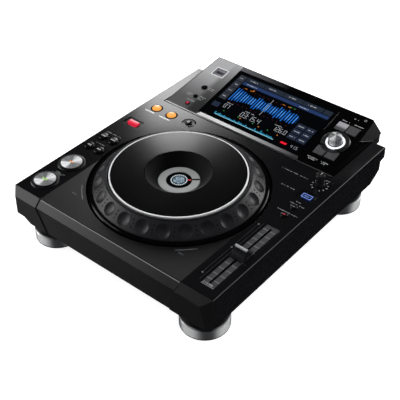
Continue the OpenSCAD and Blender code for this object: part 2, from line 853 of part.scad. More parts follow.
// Dimpled finger ring, a cone with a narrow top band behind a groove
module jog_ring() {
    band_r = 85.1;
    slope_len = norm([ring_low_r - ring_high_r, ring_high_z - ring_low_z]);
    slope_a = atan2(ring_high_z - ring_low_z, ring_low_r - ring_high_r);
    ball_r = (dimple_d * dimple_d / 4 + dimple_depth * dimple_depth) / (2 * dimple_depth);
    mid_r = (ring_low_r + ring_high_r) / 2;
    mid_z = (ring_low_z + ring_high_z) / 2;
    color("#2b2b2d") on_jog() difference() {
        rotate_extrude($fn = 144) polygon([[band_r, seat_top_z - 4], [band_r, ring_high_z + 0.9],
            [ring_high_r - 1.2, ring_high_z + 0.6], [ring_high_r - 1, ring_high_z - 0.8],
            [ring_high_r - 0.2, ring_high_z - 0.8], [ring_high_r, ring_high_z],
            [ring_low_r - 0.6, ring_low_z + 0.9], [ring_low_r, ring_low_z], [ring_low_r, ring_low_z - 1.2],
            [ring_low_r - 6, ring_low_z - 1.2], [band_r + 2, ring_high_z - 6.5]]);
        for (i = [0:dimple_count - 1]) rotate([0, 0, i * 360 / dimple_count])
            translate([mid_r + (ball_r - dimple_depth) * sin(slope_a), 0,
                mid_z + (ball_r - dimple_depth) * cos(slope_a)]) sphere(ball_r, $fn = 48);
    }
}

module jog_trim_ring() {
    inner = trim_ring_r - 1;
    outer = trim_ring_r + 0.9;
    color("#e9eaec") on_jog() rotate_extrude($fn = 144) polygon([[inner, seat_top_z + 0.02],
        [outer, seat_top_z + 0.02], [outer, ring_high_z + 1.5], [outer - 0.5, ring_high_z + 2],
        [inner + 0.4, ring_high_z + 2], [inner, ring_high_z + 1.6]]);
}

// Touch plate: a shallow crown outside, a conical recess around the centre display
module jog_plate() {
    skin = 2.4;
    rim_z = ring_high_z + 1.9;
    crown_z = rim_z + 1;
    throat_r = 26;
    plate_r = trim_ring_r - 1.1;
    color("#0b0c0d") on_jog() rotate_extrude($fn = 144) polygon([[plate_r, rim_z], [recess_r + 1, crown_z],
        [recess_r, crown_z - 0.5], [throat_r + 0.8, centre_z - 0.6], [throat_r, centre_z - 1],
        [throat_r, centre_z - 3.4], [throat_r + 2, centre_z - 3.4], [recess_r + 1, crown_z - skin - 0.6],
        [seat_r - 1, seat_top_z + 0.5], [seat_r - 1, seat_top_z + 0.02], [plate_r, seat_top_z + 0.02]]);
}

// Slotted disc that the light gate reads
module encoder_disc() {
    color("#5d6063") on_jog() difference() {
        rotate_extrude($fn = 96) polygon([[60, disc_z], [disc_r, disc_z], [disc_r, disc_z + disc_t],
            [63, disc_z + disc_t], [63, web_z - 0.02], [60, web_z - 0.02]]);
        for (i = [0:slot_count - 1]) rotate([0, 0, i * 360 / slot_count])
            translate([disc_r - 3.2, 0, 0]) block([4, 2.4], disc_z - 1, disc_z + disc_t + 1);
    }
}

// ---------------------------------------------------------------- inside the case

// Main board and, behind it, the board that carries the rear sockets
module main_board() {
    z = floor_z + 6;
    color("#1d5a35") {
        translate([-70, -20, 0]) block([120, 150], z, z + 1.6);
        translate([-95, 30, 0]) block([26, 26], z + 1.5, z + 4);
        translate([-50, 10, 0]) block([34, 34], z + 1.5, z + 9);
        for (x = [-120, -20], y = [-88, 48]) translate([x, y, 0]) bore(3, floor_z + 1.65, z + 0.1);
        translate([-5, 142, 0]) block([110, 26], z, z + 1.6);
        for (x = [-54, 44]) translate([x, 136, 0]) bore(3, floor_z + 1.65, z + 0.1);
    }
}

module power_supply() {
    z = floor_z + 6;
    color("#6b4a22") {
        translate([90, 102, 0]) block([74, 66], z, z + 1.6);
        translate([74, 106, 0]) block([30, 26], z + 1.5, z + 21);
        for (y = [86, 104]) translate([108, y, 0]) bore(6, z + 1.5, z + 20);
        for (x = [58, 122], y = [75, 129]) translate([x, y, 0]) bore(3, floor_z + 1.65, z + 0.1);
    }
}

// Switch under a key, standing on a deck board
module tact_switch(at) {
    top = deck_z + key_base - key_travel - 0.4;
    translate([at[0], at[1], 0]) block([6, 6], board_z, top - 1);
    translate([at[0], at[1], 0]) bore(1.6, board_z, top);
}

board_z = deck_z - 12;

module key_boards() {
    color("#2c6b3f") {
        difference() {
            translate([-133, -50, 0]) block([29, 240], board_z - 1.6, board_z + 0.1);
            translate([lever_at[0], lever_at[1], 0]) block([24, 14], board_z - 5, board_z + 5);
        }
        for (at = [play_at, cue_at, search_back_at, search_forward_at, track_back_at, track_forward_at,
            loop_in_at]) tact_switch(at);
        translate([-90, 53, 0]) block([60, 22], board_z - 1.6, board_z + 0.1);
        for (at = [loop_out_at, reloop_at]) tact_switch(at);
        translate([133, 14, 0]) block([29, 100], board_z - 1.6, board_z + 0.1);
        for (at = [jog_mode_at, tempo_range_at, master_tempo_at]) tact_switch(at);
        translate([speed_at[0], speed_at[1], 0]) speed_pot();
        panel_board();
        light_gate();
    }
}

// Potentiometer body with a bore for the knob's shaft
module speed_pot() {
    difference() {
        block([10, 10], board_z, deck_under - 0.4);
        bore(3.07, board_z + 2, deck_z);
    }
}

// Boards behind the tilted panel, with the selector's encoder
module panel_board() {
    low = key_base - key_travel - 4;
    on_panel([-104, 39]) block([18, 70], low - 1.6, low);
    for (at = [usb_stop_at, time_mode_at, quantize_at]) on_panel(at) bore(1.6, low - 0.1, low + 3.5);
    on_panel(selector_at) difference() {
        union() {
            block([34, 78], low - 1.6, low);
            block([12, 12], low - 8, low + 2.8);
        }
        bore(3.07, low - 7, low + 20);
    }
    for (col = [0, 1], row = [0, 1]) on_panel(browse_key_at(col, row)) bore(1.6, low - 0.1, low + 3.5);
}

// Fork that straddles the edge of the slotted disc
module light_gate() {
    on_jog() rotate([0, 0, -90]) translate([disc_r - 1, 0, 0]) difference() {
        translate([2.5, 0, 0]) block([9, 8], well_floor_z + well_floor_t + 0.02, web_z - 0.4);
        translate([-1, 0, 0]) block([6, 9], disc_z - 0.5, disc_z + disc_t + 0.5);
    }
}

// Channel of the linear potentiometer
module fader_unit() {
    length = slider_travel + 26;
    color("#3b3d40") on_deck([slider_x, slider_y]) difference() {
        block([13, length], -15, -wall - 0.02);
        block([5.4, length - 8], -13, -wall - 2);
        block([slot_w + 0.6, length - 12], -13, 1);
    }
}

// ---------------------------------------------------------------- keys and knobs

module play_button() {
    color("#c4c6c8") on_deck(play_at) round_key(play_r, 2.2, -0.3);
}

module cue_button() {
    color("#c4c6c8") on_deck(cue_at) round_key(play_r, 2.2, -0.3);
}

module search_back_key() {
    color("#141415") on_deck(search_back_at) round_key(search_r, 1.6, 0.3);
}

module search_forward_key() {
    color("#141415") on_deck(search_forward_at) round_key(search_r, 1.6, 0.3);
}

module track_back_key() {
    color("#141415") on_deck(track_back_at) round_key(search_r, 1.6, 0.3);
}

module track_forward_key() {
    color("#141415") on_deck(track_forward_at) round_key(search_r, 1.6, 0.3);
}

module loop_in_key() {
    color("#f0a040") on_deck(loop_in_at) round_key(loop_r, 1.4, 0.9);
}

module loop_out_key() {
    color("#f0a040") on_deck(loop_out_at) round_key(loop_r, 1.4, 0.9);
}

module reloop_key() {
    color("#1a1a1b") on_deck(reloop_at) round_key(small_r, 1, 0.4);
}

module tempo_range_key() {
    color("#1a1a1b") on_deck(tempo_range_at) round_key(small_r, 1.2, 0.3);
}

module master_tempo_key() {
    color("#c2324a") on_deck(master_tempo_at) round_key(small_r, 1.2, 0.3);
}

module jog_mode_key() {
    color("#6f8df0") on_deck(jog_mode_at) square_key(jog_mode_size, 1);
}

module usb_stop_key() {
    color("#1a1a1b") on_panel(usb_stop_at) round_key(small_r, 1, 0.3);
}

module time_mode_key() {
    color("#1a1a1b") on_panel(time_mode_at) round_key(small_r - 1, 0.9, 0.2);
}

module quantize_key() {
    color("#c2324a") on_panel(quantize_at) round_key(small_r - 1, 0.9, 0.2);
}

// Shaft of the rotary selector, with the click collar under the panel
module browse_shaft() {
    color("#9fa1a3") on_panel(selector_at) {
        bore(3, -14, selector_h - 2.6);
        bore(4.6, -fascia_t - 2.6, -fascia_t - 0.4);
    }
}

// Knurled knob with a bore for the shaft
module browse_knob() {
    flutes = 24;
    grip_r = selector_r - 0.3;
    color("#c9cbcd") on_panel(selector_at) difference() {
        union() {
            bore(selector_r, 2.3, 3.3);
            difference() {
                bore(grip_r, 3.2, selector_h - 1.2);
                for (i = [0:flutes - 1]) rotate([0, 0, i * 360 / flutes])
                    translate([grip_r + 0.3, 0, 3]) cylinder(r = 0.8, h = 20, $fn = 16);
            }
            rotate_extrude($fn = 64) polygon([[0, 4], [grip_r - 0.9, 4], [grip_r - 0.9, selector_h - 0.8],
                [grip_r - 1.5, selector_h - 0.1], [0, selector_h]]);
        }
        bore(3.06, 1, selector_h - 2.3);
    }
}

// Slender knob with a pointer rib and its own shaft
module speed_knob() {
    color("#18181a") on_deck(speed_at) {
        difference() {
            rotate_extrude($fn = 64) polygon([[0, 0.6], [6.1, 0.6], [6.1, 2], [5.3, 4], [5.6, speed_h - 1],
                [5, speed_h], [0, speed_h]]);
            for (a = [0:30:330]) rotate([0, 0, a]) translate([6.2, 0, 3.8])
                cylinder(r = 1, h = speed_h - 5.6, $fn = 16);
        }
        bore(3, -9, 1);
    }
}

// Saddle cap with a centre ridge, on a flat metal stem
module tempo_slider() {
    hollow_r = cap_h;
    foot_z = 0.4;
    color("#1c1c1e") on_deck([slider_x, slider_y]) {
        difference() {
            block([cap_w, cap_d], foot_z, cap_h);
            for (side = [-1, 1]) translate([0, side * (hollow_r + 0.7), cap_h + 1.8]) rotate([0, 90, 0])
                cylinder(r = hollow_r, h = cap_w + 2, center = true, $fn = 64);
            block([cap_w - 5, cap_d - 6], foot_z - 1, 1.2);
        }
        block([stem_w, stem_d], -11, 3);
        block([4.6, 8], -11, -7.5);
    }
}

// Rocking lever with its pivot boss, lit from inside
module direction_lever() {
    color("#e8304a") on_deck(lever_at) {
        intersection() {
            block([lever_w, lever_t], -lever_pivot_drop, lever_rise + 0.2);
            translate([0, 0, -lever_pivot_drop]) rotate([0, 90, 0])
                cylinder(r = lever_pivot_drop + lever_rise, h = lever_w + 1, center = true, $fn = 96);
        }
        translate([0, 0, -lever_pivot_drop]) rotate([0, 90, 0]) {
            cylinder(r = 4, h = lever_w, center = true, $fn = 48);
            cylinder(r = pivot_r, h = lever_w + 2 * run_gap + 4, center = true, $fn = 48);
        }
    }
}

module power_button() {
    color("#202022") translate([power_at[0], cover_rear_y, power_at[1]]) rotate([90, 0, 0]) {
        soft_block(power_size, 1, cover_rear_y - tail_y, 8);
        block([power_size[0] + 2 * key_lip, power_size[1] + 2], 2.9, 5.2);
    }
}

// ---------------------------------------------------------------- drawing

bottom_chassis();
top_case();
front_panel();
front_left_corner();
front_right_corner();
display_housing();
display_rear_cover();
display_fascia();
display_trim_bar();
touch_screen();
rear_panel();
audio_jacks();
data_sockets();
ac_inlet();
usb_a_port();
foot_front_left();
foot_front_right();
foot_rear_left();
foot_rear_right();
jog_base_plate();
jog_spindle();
jog_bearings();
jog_display_lens();
jog_display_collar();
jog_hub();
jog_ring();
jog_trim_ring();
jog_plate();
encoder_disc();
main_board();
key_boards();
power_supply();
fader_unit();
selector_light_ring();
case_screws();
play_button();
cue_button();
search_back_key();
search_forward_key();
track_back_key();
track_forward_key();
loop_in_key();
loop_out_key();
reloop_key();
jog_mode_key();
tempo_range_key();
master_tempo_key();
usb_stop_key();
time_mode_key();
quantize_key();
browse_key();
tag_key();
info_key();
menu_key();
browse_shaft();
browse_knob();
speed_knob();
tempo_slider();
direction_lever();
power_button();
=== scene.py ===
# %% [markdown]
# # A tabletop DJ player
#
# This lesson dresses a player that a DJ would set on a table: a satin black case on four silver
# feet, a big wheel with finger dimples, a tilted display and lit keys. The solid pieces come
# from a CAD model. Here they get their materials, their printed marks, their lights and a small
# photo studio. Everything is in metres in Blender, but the notes and the numbers are in
# millimetres, as they would be on the maker's drawing.

# %% Load the frame
import math

import bmesh
import bpy
from mathutils import Matrix, Vector


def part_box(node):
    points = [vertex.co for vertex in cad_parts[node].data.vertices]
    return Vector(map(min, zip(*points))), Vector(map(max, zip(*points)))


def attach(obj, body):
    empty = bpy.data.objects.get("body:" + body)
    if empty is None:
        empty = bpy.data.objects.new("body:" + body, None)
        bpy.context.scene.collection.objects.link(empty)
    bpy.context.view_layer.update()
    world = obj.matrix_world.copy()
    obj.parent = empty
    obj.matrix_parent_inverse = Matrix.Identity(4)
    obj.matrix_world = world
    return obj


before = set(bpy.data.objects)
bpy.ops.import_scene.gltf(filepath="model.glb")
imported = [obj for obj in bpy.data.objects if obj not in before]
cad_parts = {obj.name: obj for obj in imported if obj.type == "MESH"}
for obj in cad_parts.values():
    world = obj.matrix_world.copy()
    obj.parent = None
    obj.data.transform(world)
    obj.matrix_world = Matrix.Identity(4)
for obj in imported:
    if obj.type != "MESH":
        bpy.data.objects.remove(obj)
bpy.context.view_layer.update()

# %% [markdown]
# ## Places
#
# Two surfaces carry almost everything: the flat deck, and the display panel that rises from its
# rear half at 12 degrees. A mark is easiest to place in the surface's own two directions, so
# each surface gets a function that turns "so far right, so far up the surface" into a point.
# A third function finds the top of a CAD piece, so that a mark can be placed on a key.

# %% Two surfaces to draw on
MM = 0.001
DECK_Z = 79.5
PANEL_Y = 71.8
TILT = math.radians(12)
WHEEL_Y = -55.5


def on_deck(x, y, up=0.0):
    """A point on the deck, or above it."""
    return Vector((x, y, DECK_Z + up)) * MM


def on_panel(x, s, up=0.0):
    """A point on the tilted panel, s millimetres up its slope."""
    return Vector((
        x,
        PANEL_Y + s * math.cos(TILT) - up * math.sin(TILT),
        DECK_Z + s * math.sin(TILT) + up * math.cos(TILT),
    )) * MM


def top_of(node):
    """The middle of a CAD piece's top, in millimetres."""
    low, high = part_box(node)
    return Vector(((low.x + high.x) / 2, (low.y + high.y) / 2, high.z)) / MM


print("panel's upper edge:", [round(v / MM, 1) for v in on_panel(0, 109.5)])
print("wheel's top is at", round(top_of("jog_plate").z, 1), "mm")

# %% [markdown]
# ## The camera
#
# A long lens a metre away keeps the sides of the case nearly parallel, as in a catalogue
# picture. The three rows below are the camera's right, down and forward directions. The plain
# "Standard" view keeps white paper white and black plastic black, where Blender's usual filmic
# curve would turn both grey.

# %% Set up the camera
RIGHT = Vector((0.76999, 0.63801, -0.00796))
DOWN = Vector((0.40120, -0.49383, -0.77147))
FORWARD = Vector((-0.49614, 0.59083, -0.63621))
camera_data = bpy.data.cameras.new("studio_camera")
camera_data.sensor_width = 36.0
camera_data.lens = 77.42
camera_data.clip_start = 0.05
camera = bpy.data.objects.new("studio_camera", camera_data)
bpy.context.scene.collection.objects.link(camera)
camera.matrix_world = Matrix.Translation(Vector((0.53985, -0.65978, 0.72225))) @ Matrix(
    (RIGHT, -DOWN, -FORWARD)).transposed().to_4x4()
bpy.context.scene.camera = camera
bpy.context.scene.view_settings.view_transform = "Standard"
print("camera to wheel:", round((camera.location - on_deck(0, WHEEL_Y)).length, 3), "m")

# %% [markdown]
# ## Small tools
#
# Colours are written as the hex values a paint shop would use. Those are sRGB, and a shader
# wants linear light, so one function converts them. Another adds a shader node with its
# settings and its links, and a third makes a material to build on. Each CAD piece has one
# material slot, and a new material in it dresses the piece without touching its shape.

# %% Colour and node helpers
def linear(hex_code):
    """An sRGB hex colour as linear RGBA."""
    parts = [int(hex_code[i:i + 2], 16) / 255 for i in (1, 3, 5)]
    return [c / 12.92 if c <= 0.04045 else ((c + 0.055) / 1.055) ** 2.4 for c in parts] + [1.0]


def add(tree, kind, inputs=(), **settings):
    """Add a node. Inputs are values, sockets to link from, or nodes for their first socket."""
    node = tree.nodes.new("ShaderNode" + kind)
    for name, value in settings.items():
        setattr(node, name, value)
    for name, value in inputs.items() if isinstance(inputs, dict) else enumerate(inputs):
        if isinstance(value, bpy.types.Node):
            value = value.outputs[0]
        if isinstance(value, bpy.types.NodeSocket):
            tree.links.new(value, node.inputs[name])
        else:
            node.inputs[name].default_value = value
    return node


def new_material(name, base, roughness, **sockets):
    """A material with one Principled shader, and its tree and shader to build on."""
    material = bpy.data.materials.new(name)
    material.use_nodes = True
    tree = material.node_tree
    shader = next(n for n in tree.nodes if n.type == "BSDF_PRINCIPLED")
    shader.inputs["Base Color"].default_value = linear(base)
    shader.inputs["Roughness"].default_value = roughness
    for socket, value in sockets.items():
        shader.inputs[socket.replace("_", " ")].default_value = value
    material.diffuse_color = linear(base)
    return material, tree, shader


def dress(material, *nodes):
    """Give CAD pieces a material, in the one slot that each of them has."""
    for node in nodes:
        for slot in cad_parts[node].material_slots:
            slot.material = material
        dressed.append(node)


dressed = []
print("mid grey #808080 is", round(linear("#808080")[0], 3), "in linear light")

# %% [markdown]
# ## Masks by place
#
# One moulding often carries two finishes, such as a grained panel beside a polished one. Each
# CAD piece has one slot, so a mask tells the finishes apart by place, measured in millimetres
# along any direction. A MapRange node is given its value, the two ends that the value runs
# between, and the two that it becomes.

# %% Measure and mask inside a material
X, Y, Z = (1, 0, 0), (0, 1, 0), (0, 0, 1)
FAR = 400.0


def along(tree, direction, zero=0.0):
    """How far a point lies along a direction, in millimetres from a zero point."""
    place = add(tree, "TexCoord").outputs["Object"]
    far = add(tree, "VectorMath", (place, Vector(direction) / MM), operation="DOT_PRODUCT")
    return add(tree, "Math", (far.outputs["Value"], zero), operation="SUBTRACT")


def overlap(tree, *masks):
    """Where all the masks are 1 together."""
    product = masks[0]
    for mask in masks[1:]:
        product = add(tree, "Math", (product, mask), operation="MULTIPLY")
    return product


def inside(tree, value, low, high, soft=0.15):
    """1 between two values and 0 outside them, with a soft edge."""
    rise = add(tree, "MapRange", (value, low - soft, low + soft))
    fall = add(tree, "MapRange", (value, high - soft, high + soft, 1.0, 0.0))
    return overlap(tree, rise, fall)


def between(tree, direction, low, high, soft=0.15):
    """A mask between two planes that lie square to a direction."""
    return inside(tree, along(tree, direction), low, high, soft)


def distance(tree, a, b):
    """The distance from the zero point of two lengths at right angles."""
    both = add(tree, "CombineXYZ", (a, b))
    return add(tree, "VectorMath", (both,), operation="LENGTH").outputs["Value"]


def ring(tree, middle, inner, outer):
    """A mask between two circles round a point of the deck."""
    apart = distance(tree, along(tree, X, middle[0]), along(tree, Y, middle[1]))
    return inside(tree, apart, inner, outer)


def second_finish(shader, mask, base, roughness):
    """Another colour and roughness where the mask is 1."""
    tree, now = shader.id_data, {}
    for name in ("Base Color", "Roughness"):
        socket = shader.inputs[name]
        now[name] = socket.links[0].from_socket if socket.is_linked else socket.default_value
    colour = add(tree, "Mix", {0: mask, 6: now["Base Color"], 7: linear(base)}, data_type="RGBA")
    rough = add(tree, "Mix", {0: mask, 2: now["Roughness"], 3: roughness})
    tree.links.new(colour.outputs[2], shader.inputs["Base Color"])
    tree.links.new(rough.outputs[0], shader.inputs["Roughness"])


print("masks reach", FAR, "mm, past every edge")

# %% [markdown]
# ## Moulded ABS
#
# The case is injection-moulded ABS. Its mould is spark-eroded, which leaves a fine even grain
# that spreads reflections into soft gradients. Such grain is about 0.15 mm, too fine to see from
# here, so it is drawn at 0.8 mm and kept shallow. A larger, fainter unevenness stands in for the
# slow waves of every big moulding. No moulding has a truly sharp edge, so a half-millimetre
# round catches the light as a thin line. Polished parts have only a shallow ripple 7 mm long.

# %% The recipe for a moulded plastic
WAVE_MM = 60


def moulded(name, base, roughness, grain_mm=0.8, depth_mm=0.02, edge_mm=0.5, **sockets):
    """Grained plastic: fine bumps, rounded edges, and a roughness that drifts a little."""
    material, tree, shader = new_material(name, base, roughness, **sockets)
    place = add(tree, "TexCoord").outputs["Object"]
    grain = add(tree, "TexNoise", {"Vector": place, "Scale": 1 / (grain_mm * MM), "Detail": 2.0})
    waves = add(tree, "TexNoise", {"Vector": place, "Scale": 1 / (WAVE_MM * MM), "Detail": 1.0})
    drift = add(tree, "MapRange", (waves, 0.3, 0.7, roughness * 0.93, roughness * 1.07))
    edge = add(tree, "Bevel", {"Radius": edge_mm * MM}, samples=4)
    bump = add(tree, "Bump", {"Height": grain, "Strength": 0.5, "Distance": depth_mm * MM,
                              "Normal": edge})
    tree.links.new(drift.outputs["Result"], shader.inputs["Roughness"])
    tree.links.new(bump.outputs["Normal"], shader.inputs["Normal"])
    return material, tree, shader


POLISH = {"grain_mm": 7.0, "depth_mm": 0.004}
print("polished parts keep only a", POLISH["grain_mm"], "mm ripple")

# %% [markdown]
# ## Case
#
# The deck is smooth satin black. In front of the wheel, between two straight lines, its mould
# has a coarser grain, so this patch looks a little lighter. The strip right of the display
# fades into such a grain too. Along the left side rim a dull strip is painted shade, for the dark
# line that its rounded edge mirrors, and along the right rim a paler strip is a painted edge
# highlight. The rings round the two big buttons are duller than the deck.

# %% Make the case's plastic
PATCH_HALF, PATCH_REAR = 108.8, -70.0
LEFT_RIM, RIGHT_RIM = -152.4, 152.7
STRIP_LEFT, STRIP_FRONT, STRIP_FADE = 134.0, 80.0, 20.0
BEZEL_INNER, BEZEL_OUTER = 14.0, 17.6
case_abs, tree, shader = moulded("case_satin_abs", "#0f0f11", 0.14, depth_mm=0.004)
deck_top = between(tree, Z, DECK_Z - 0.5, FAR)
rim_height = between(tree, Z, DECK_Z - 0.7, FAR)
patch = overlap(tree, between(tree, X, -PATCH_HALF, PATCH_HALF), between(tree, Y, -FAR, PATCH_REAR),
                deck_top)
second_finish(shader, patch, "#121214", 0.38)
# Painted shade: a dull strip along the left rim for the dark line its rounded edge mirrors.
left_rim_painted_shade = overlap(tree, between(tree, X, -FAR, LEFT_RIM), rim_height)
second_finish(shader, left_rim_painted_shade, "#1c1c1e", 0.8)
# Painted highlight: a paler strip along the right rim for its bright edge line.
right_rim_painted_highlight = overlap(tree, between(tree, X, RIGHT_RIM, FAR), rim_height)
second_finish(shader, right_rim_painted_highlight, "#4c4c4e", 0.4)
strip = overlap(tree, between(tree, X, STRIP_LEFT, RIGHT_RIM - 0.1), deck_top,
                between(tree, Y, STRIP_FRONT, FAR, STRIP_FADE))
second_finish(shader, strip, "#1a1a1c", 0.40)
for button in ("play_button", "cue_button"):
    bezel = ring(tree, top_of(button), BEZEL_INNER, BEZEL_OUTER)
    second_finish(shader, bezel, "#060607", 0.38)
dress(case_abs, "top_case")
print("patch is", 2 * PATCH_HALF, "mm wide")

# %% [markdown]
# ## Front and small mouldings
#
# The front panel and its corners are grained and rougher than the deck. A bright strip along the
# panel's long upper edge is a painted edge highlight. The small mouldings need no mask: each has
# one colour and grain.

# %% Make the front's and the small parts' plastics
EDGE_HALF = 108.0
front_abs, tree, shader = moulded("front_satin_abs", "#111113", 0.34)
front_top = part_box("front_panel")[1].z / MM
# Painted highlight: a bright strip along the front panel's upper edge.
upper_edge_highlight = overlap(tree, between(tree, Z, front_top - 0.5, FAR), between(tree, X, -EDGE_HALF, EDGE_HALF))
second_finish(shader, upper_edge_highlight, "#8c8c8e", 0.34)
dress(front_abs, "front_panel", "front_left_corner", "front_right_corner")
cover_abs = moulded("rear_cover_abs", "#1d1d1f", 0.42)[0]
dress(cover_abs, "display_rear_cover", "rear_panel", "power_button")
dress(moulded("soft_touch_ring", "#1c1c1f", 0.46, grain_mm=0.6, edge_mm=0.7)[0], "jog_ring")
dress(moulded("black_knob_abs", "#18181a", 0.28)[0], "speed_knob", "tempo_slider")
dress(moulded("socket_nylon", "#0c0c0d", 0.45)[0], "ac_inlet")
dress(moulded("grey_collar_abs", "#9c9e9e", 0.42, depth_mm=0.01)[0], "jog_display_collar")
chassis_coat = moulded("black_powder_coat", "#0b0b0c", 0.5, grain_mm=1.2)[0]
dress(chassis_coat, "bottom_chassis", "fader_unit", "power_supply", "main_board", "key_boards")
print("front panel's upper edge is at", round(front_top, 1), "mm")

# %% [markdown]
# ## Polished panel
#
# The tilted panel is one moulding with two finishes. Round the display and the selector it is
# polished like a piano. Left of the display it is grained, and its reflection of the key light is
# painted into its colour, paler towards the upper left corner. The narrow band above the display
# has a painted reflection too, paler towards its left end. A thin dull line along the left and
# upper edges is painted shade, for the dark that their rounded edges mirror, and the selector
# stands in a satin collar.

# %% Make the panel's plastic
PANEL_S = (0, math.cos(TILT), math.sin(TILT))
PANEL_ZERO = PANEL_Y * math.cos(TILT) + DECK_Z * math.sin(TILT)
PANEL_HALF, PANEL_SLANT, PANEL_TOP = 134.5, 0.0818, 108.6
GRAIN_RIGHT, BAND_FOOT = -82.0, 101.5
SELECTOR_X, SELECTOR_S = 106.4, 51.0
panel_abs, tree, shader = moulded("panel_black_abs", "#050506", 0.08, **POLISH)
x = along(tree, X)
s = along(tree, PANEL_S, PANEL_ZERO)
grained = inside(tree, x, -FAR, GRAIN_RIGHT)
second_finish(shader, grained, "#101012", 0.36)
# Painted reflection of the key light: the grained zone turns paler towards its upper left.
leftward = add(tree, "MapRange", (x, -92.0, -103.0, 0.06, 0.37), interpolation_type="SMOOTHSTEP")
upward = add(tree, "MapRange", (s, 20.0, 110.0, 0.0, 0.776))
total = add(tree, "Math", (leftward, upward), operation="ADD")
capped = add(tree, "Math", (total, 0.86), operation="MINIMUM")
pale = add(tree, "Math", (capped, 2.0), operation="POWER")
second_finish(shader, overlap(tree, grained, pale), "#d2d2d4", 0.36)
# Painted reflection on the band above the display, paler towards its left end.
fade = add(tree, "MapRange", (x, 0.0, GRAIN_RIGHT))
band = overlap(tree, inside(tree, s, BAND_FOOT, FAR), inside(tree, x, GRAIN_RIGHT, 0.0), fade)
second_finish(shader, band, "#6a6a6e", 0.2)
# Painted shade: a thin dull line along the panel's left and upper edges.
slanted = add(tree, "Math", (s, -PANEL_SLANT, x), operation="MULTIPLY_ADD")
left_edge_painted_shade = inside(tree, slanted, -FAR, 1.1 - PANEL_HALF)
edges = add(tree, "Math", (left_edge_painted_shade, inside(tree, s, PANEL_TOP, FAR)), operation="MAXIMUM")
second_finish(shader, edges, "#1c1c1e", 0.8)
to_right, up_slope = along(tree, X, SELECTOR_X), along(tree, PANEL_S, PANEL_ZERO + SELECTOR_S)
collar = inside(tree, distance(tree, to_right, up_slope), 12.4, 18.8)
second_finish(shader, collar, "#1b1b1d", 0.34)
dress(panel_abs, "display_fascia")
print("the panel's own zero lies", round(PANEL_ZERO, 1), "mm along its slope")

# %% [markdown]
# ## Other polished plastics
#
# The touch plate is polished too, but its recess is moulded matt, so it stays dark. The four
# keys round the selector are grey, and the upper left one carries a painted highlight: a pale
# sheen over its upper part.

# %% Make the other polished plastics
RECESS_R = 40.2
SHEEN_FRONT, SHEEN_FULL = 75.0, 79.0
SMALL_KEYS = ("search_back_key", "search_forward_key", "track_back_key", "track_forward_key")
plate_abs, tree, shader = moulded("touch_plate_abs", "#040405", 0.155, **POLISH)
second_finish(shader, ring(tree, (0.0, WHEEL_Y), -1.0, RECESS_R), "#020202", 0.85)
dress(plate_abs, "jog_plate")
dress(moulded("polished_black_abs", "#050506", 0.10, **POLISH)[0], "display_housing")
skirt_abs = moulded("polished_skirt_abs", "#050506", 0.14, Specular_IOR_Level=0.15, **POLISH)[0]
dress(skirt_abs, "jog_hub")
key_black_abs = moulded("polished_key_abs", "#0a0a0b", 0.16, **POLISH)[0]
dress(key_black_abs, *SMALL_KEYS, "reloop_key", "tempo_range_key", "usb_stop_key", "time_mode_key",
      "master_tempo_key", "quantize_key")
key_grey_abs, tree, shader = moulded("grey_key_abs", "#4e4e50", 0.28, depth_mm=0.01)
# Painted highlight: a pale sheen over the upper part of the upper left key.
painted_sheen = add(tree, "MapRange", (along(tree, PANEL_S, PANEL_ZERO), SHEEN_FRONT, SHEEN_FULL, 0.0, 0.9))
second_finish(shader, overlap(tree, painted_sheen, between(tree, X, 80.0, SELECTOR_X)), "#b8b8bc", 0.28)
dress(key_grey_abs, "browse_key", "tag_key", "info_key", "menu_key")
dress(moulded("display_glass", "#030406", 0.05, IOR=1.52, **POLISH)[0], "touch_screen", "jog_display_lens")
white_ring = moulded("white_painted_ring", "#f6f7f8", 0.25, **POLISH)[0]
dress(white_ring, "jog_trim_ring")
print("recess is", 2 * RECESS_R, "mm across")

# %% [markdown]
# ## Metals
#
# The bar under the display is aluminium brushed along its length. Its reflection is painted into
# its colour: bright at its left end and darker towards the right, and darker sooner on its narrow
# front lip. The two big buttons are spun on a lathe, with fine rings. Their reflection is painted
# into their colour too: two broad bright fans, one to each side, and streaks that run out from
# the middle. The same recipe serves the selector's top.

# %% Make the brushed metals
def brushed(name, base, roughness, metal=1.0):
    """Aluminium brushed along X: long thin scratches, drawn 0.4 mm apart."""
    material, tree, shader = new_material(name, base, roughness, Metallic=metal)
    place = add(tree, "TexCoord").outputs["Object"]
    stretched = add(tree, "Mapping", {"Vector": place, "Scale": (0.02, 1.0, 1.0)})
    scratch = add(tree, "TexNoise", {"Vector": stretched, "Scale": 1 / (0.4 * MM)})
    bump = add(tree, "Bump", {"Height": scratch, "Strength": 0.2, "Distance": 0.02 * MM})
    tree.links.new(bump.outputs["Normal"], shader.inputs["Normal"])
    return material, tree, shader


LIP_TOP = 1.9
trim_aluminium, tree, shader = brushed("brushed_trim_aluminium", "#fcfdfe", 0.40, metal=0.25)
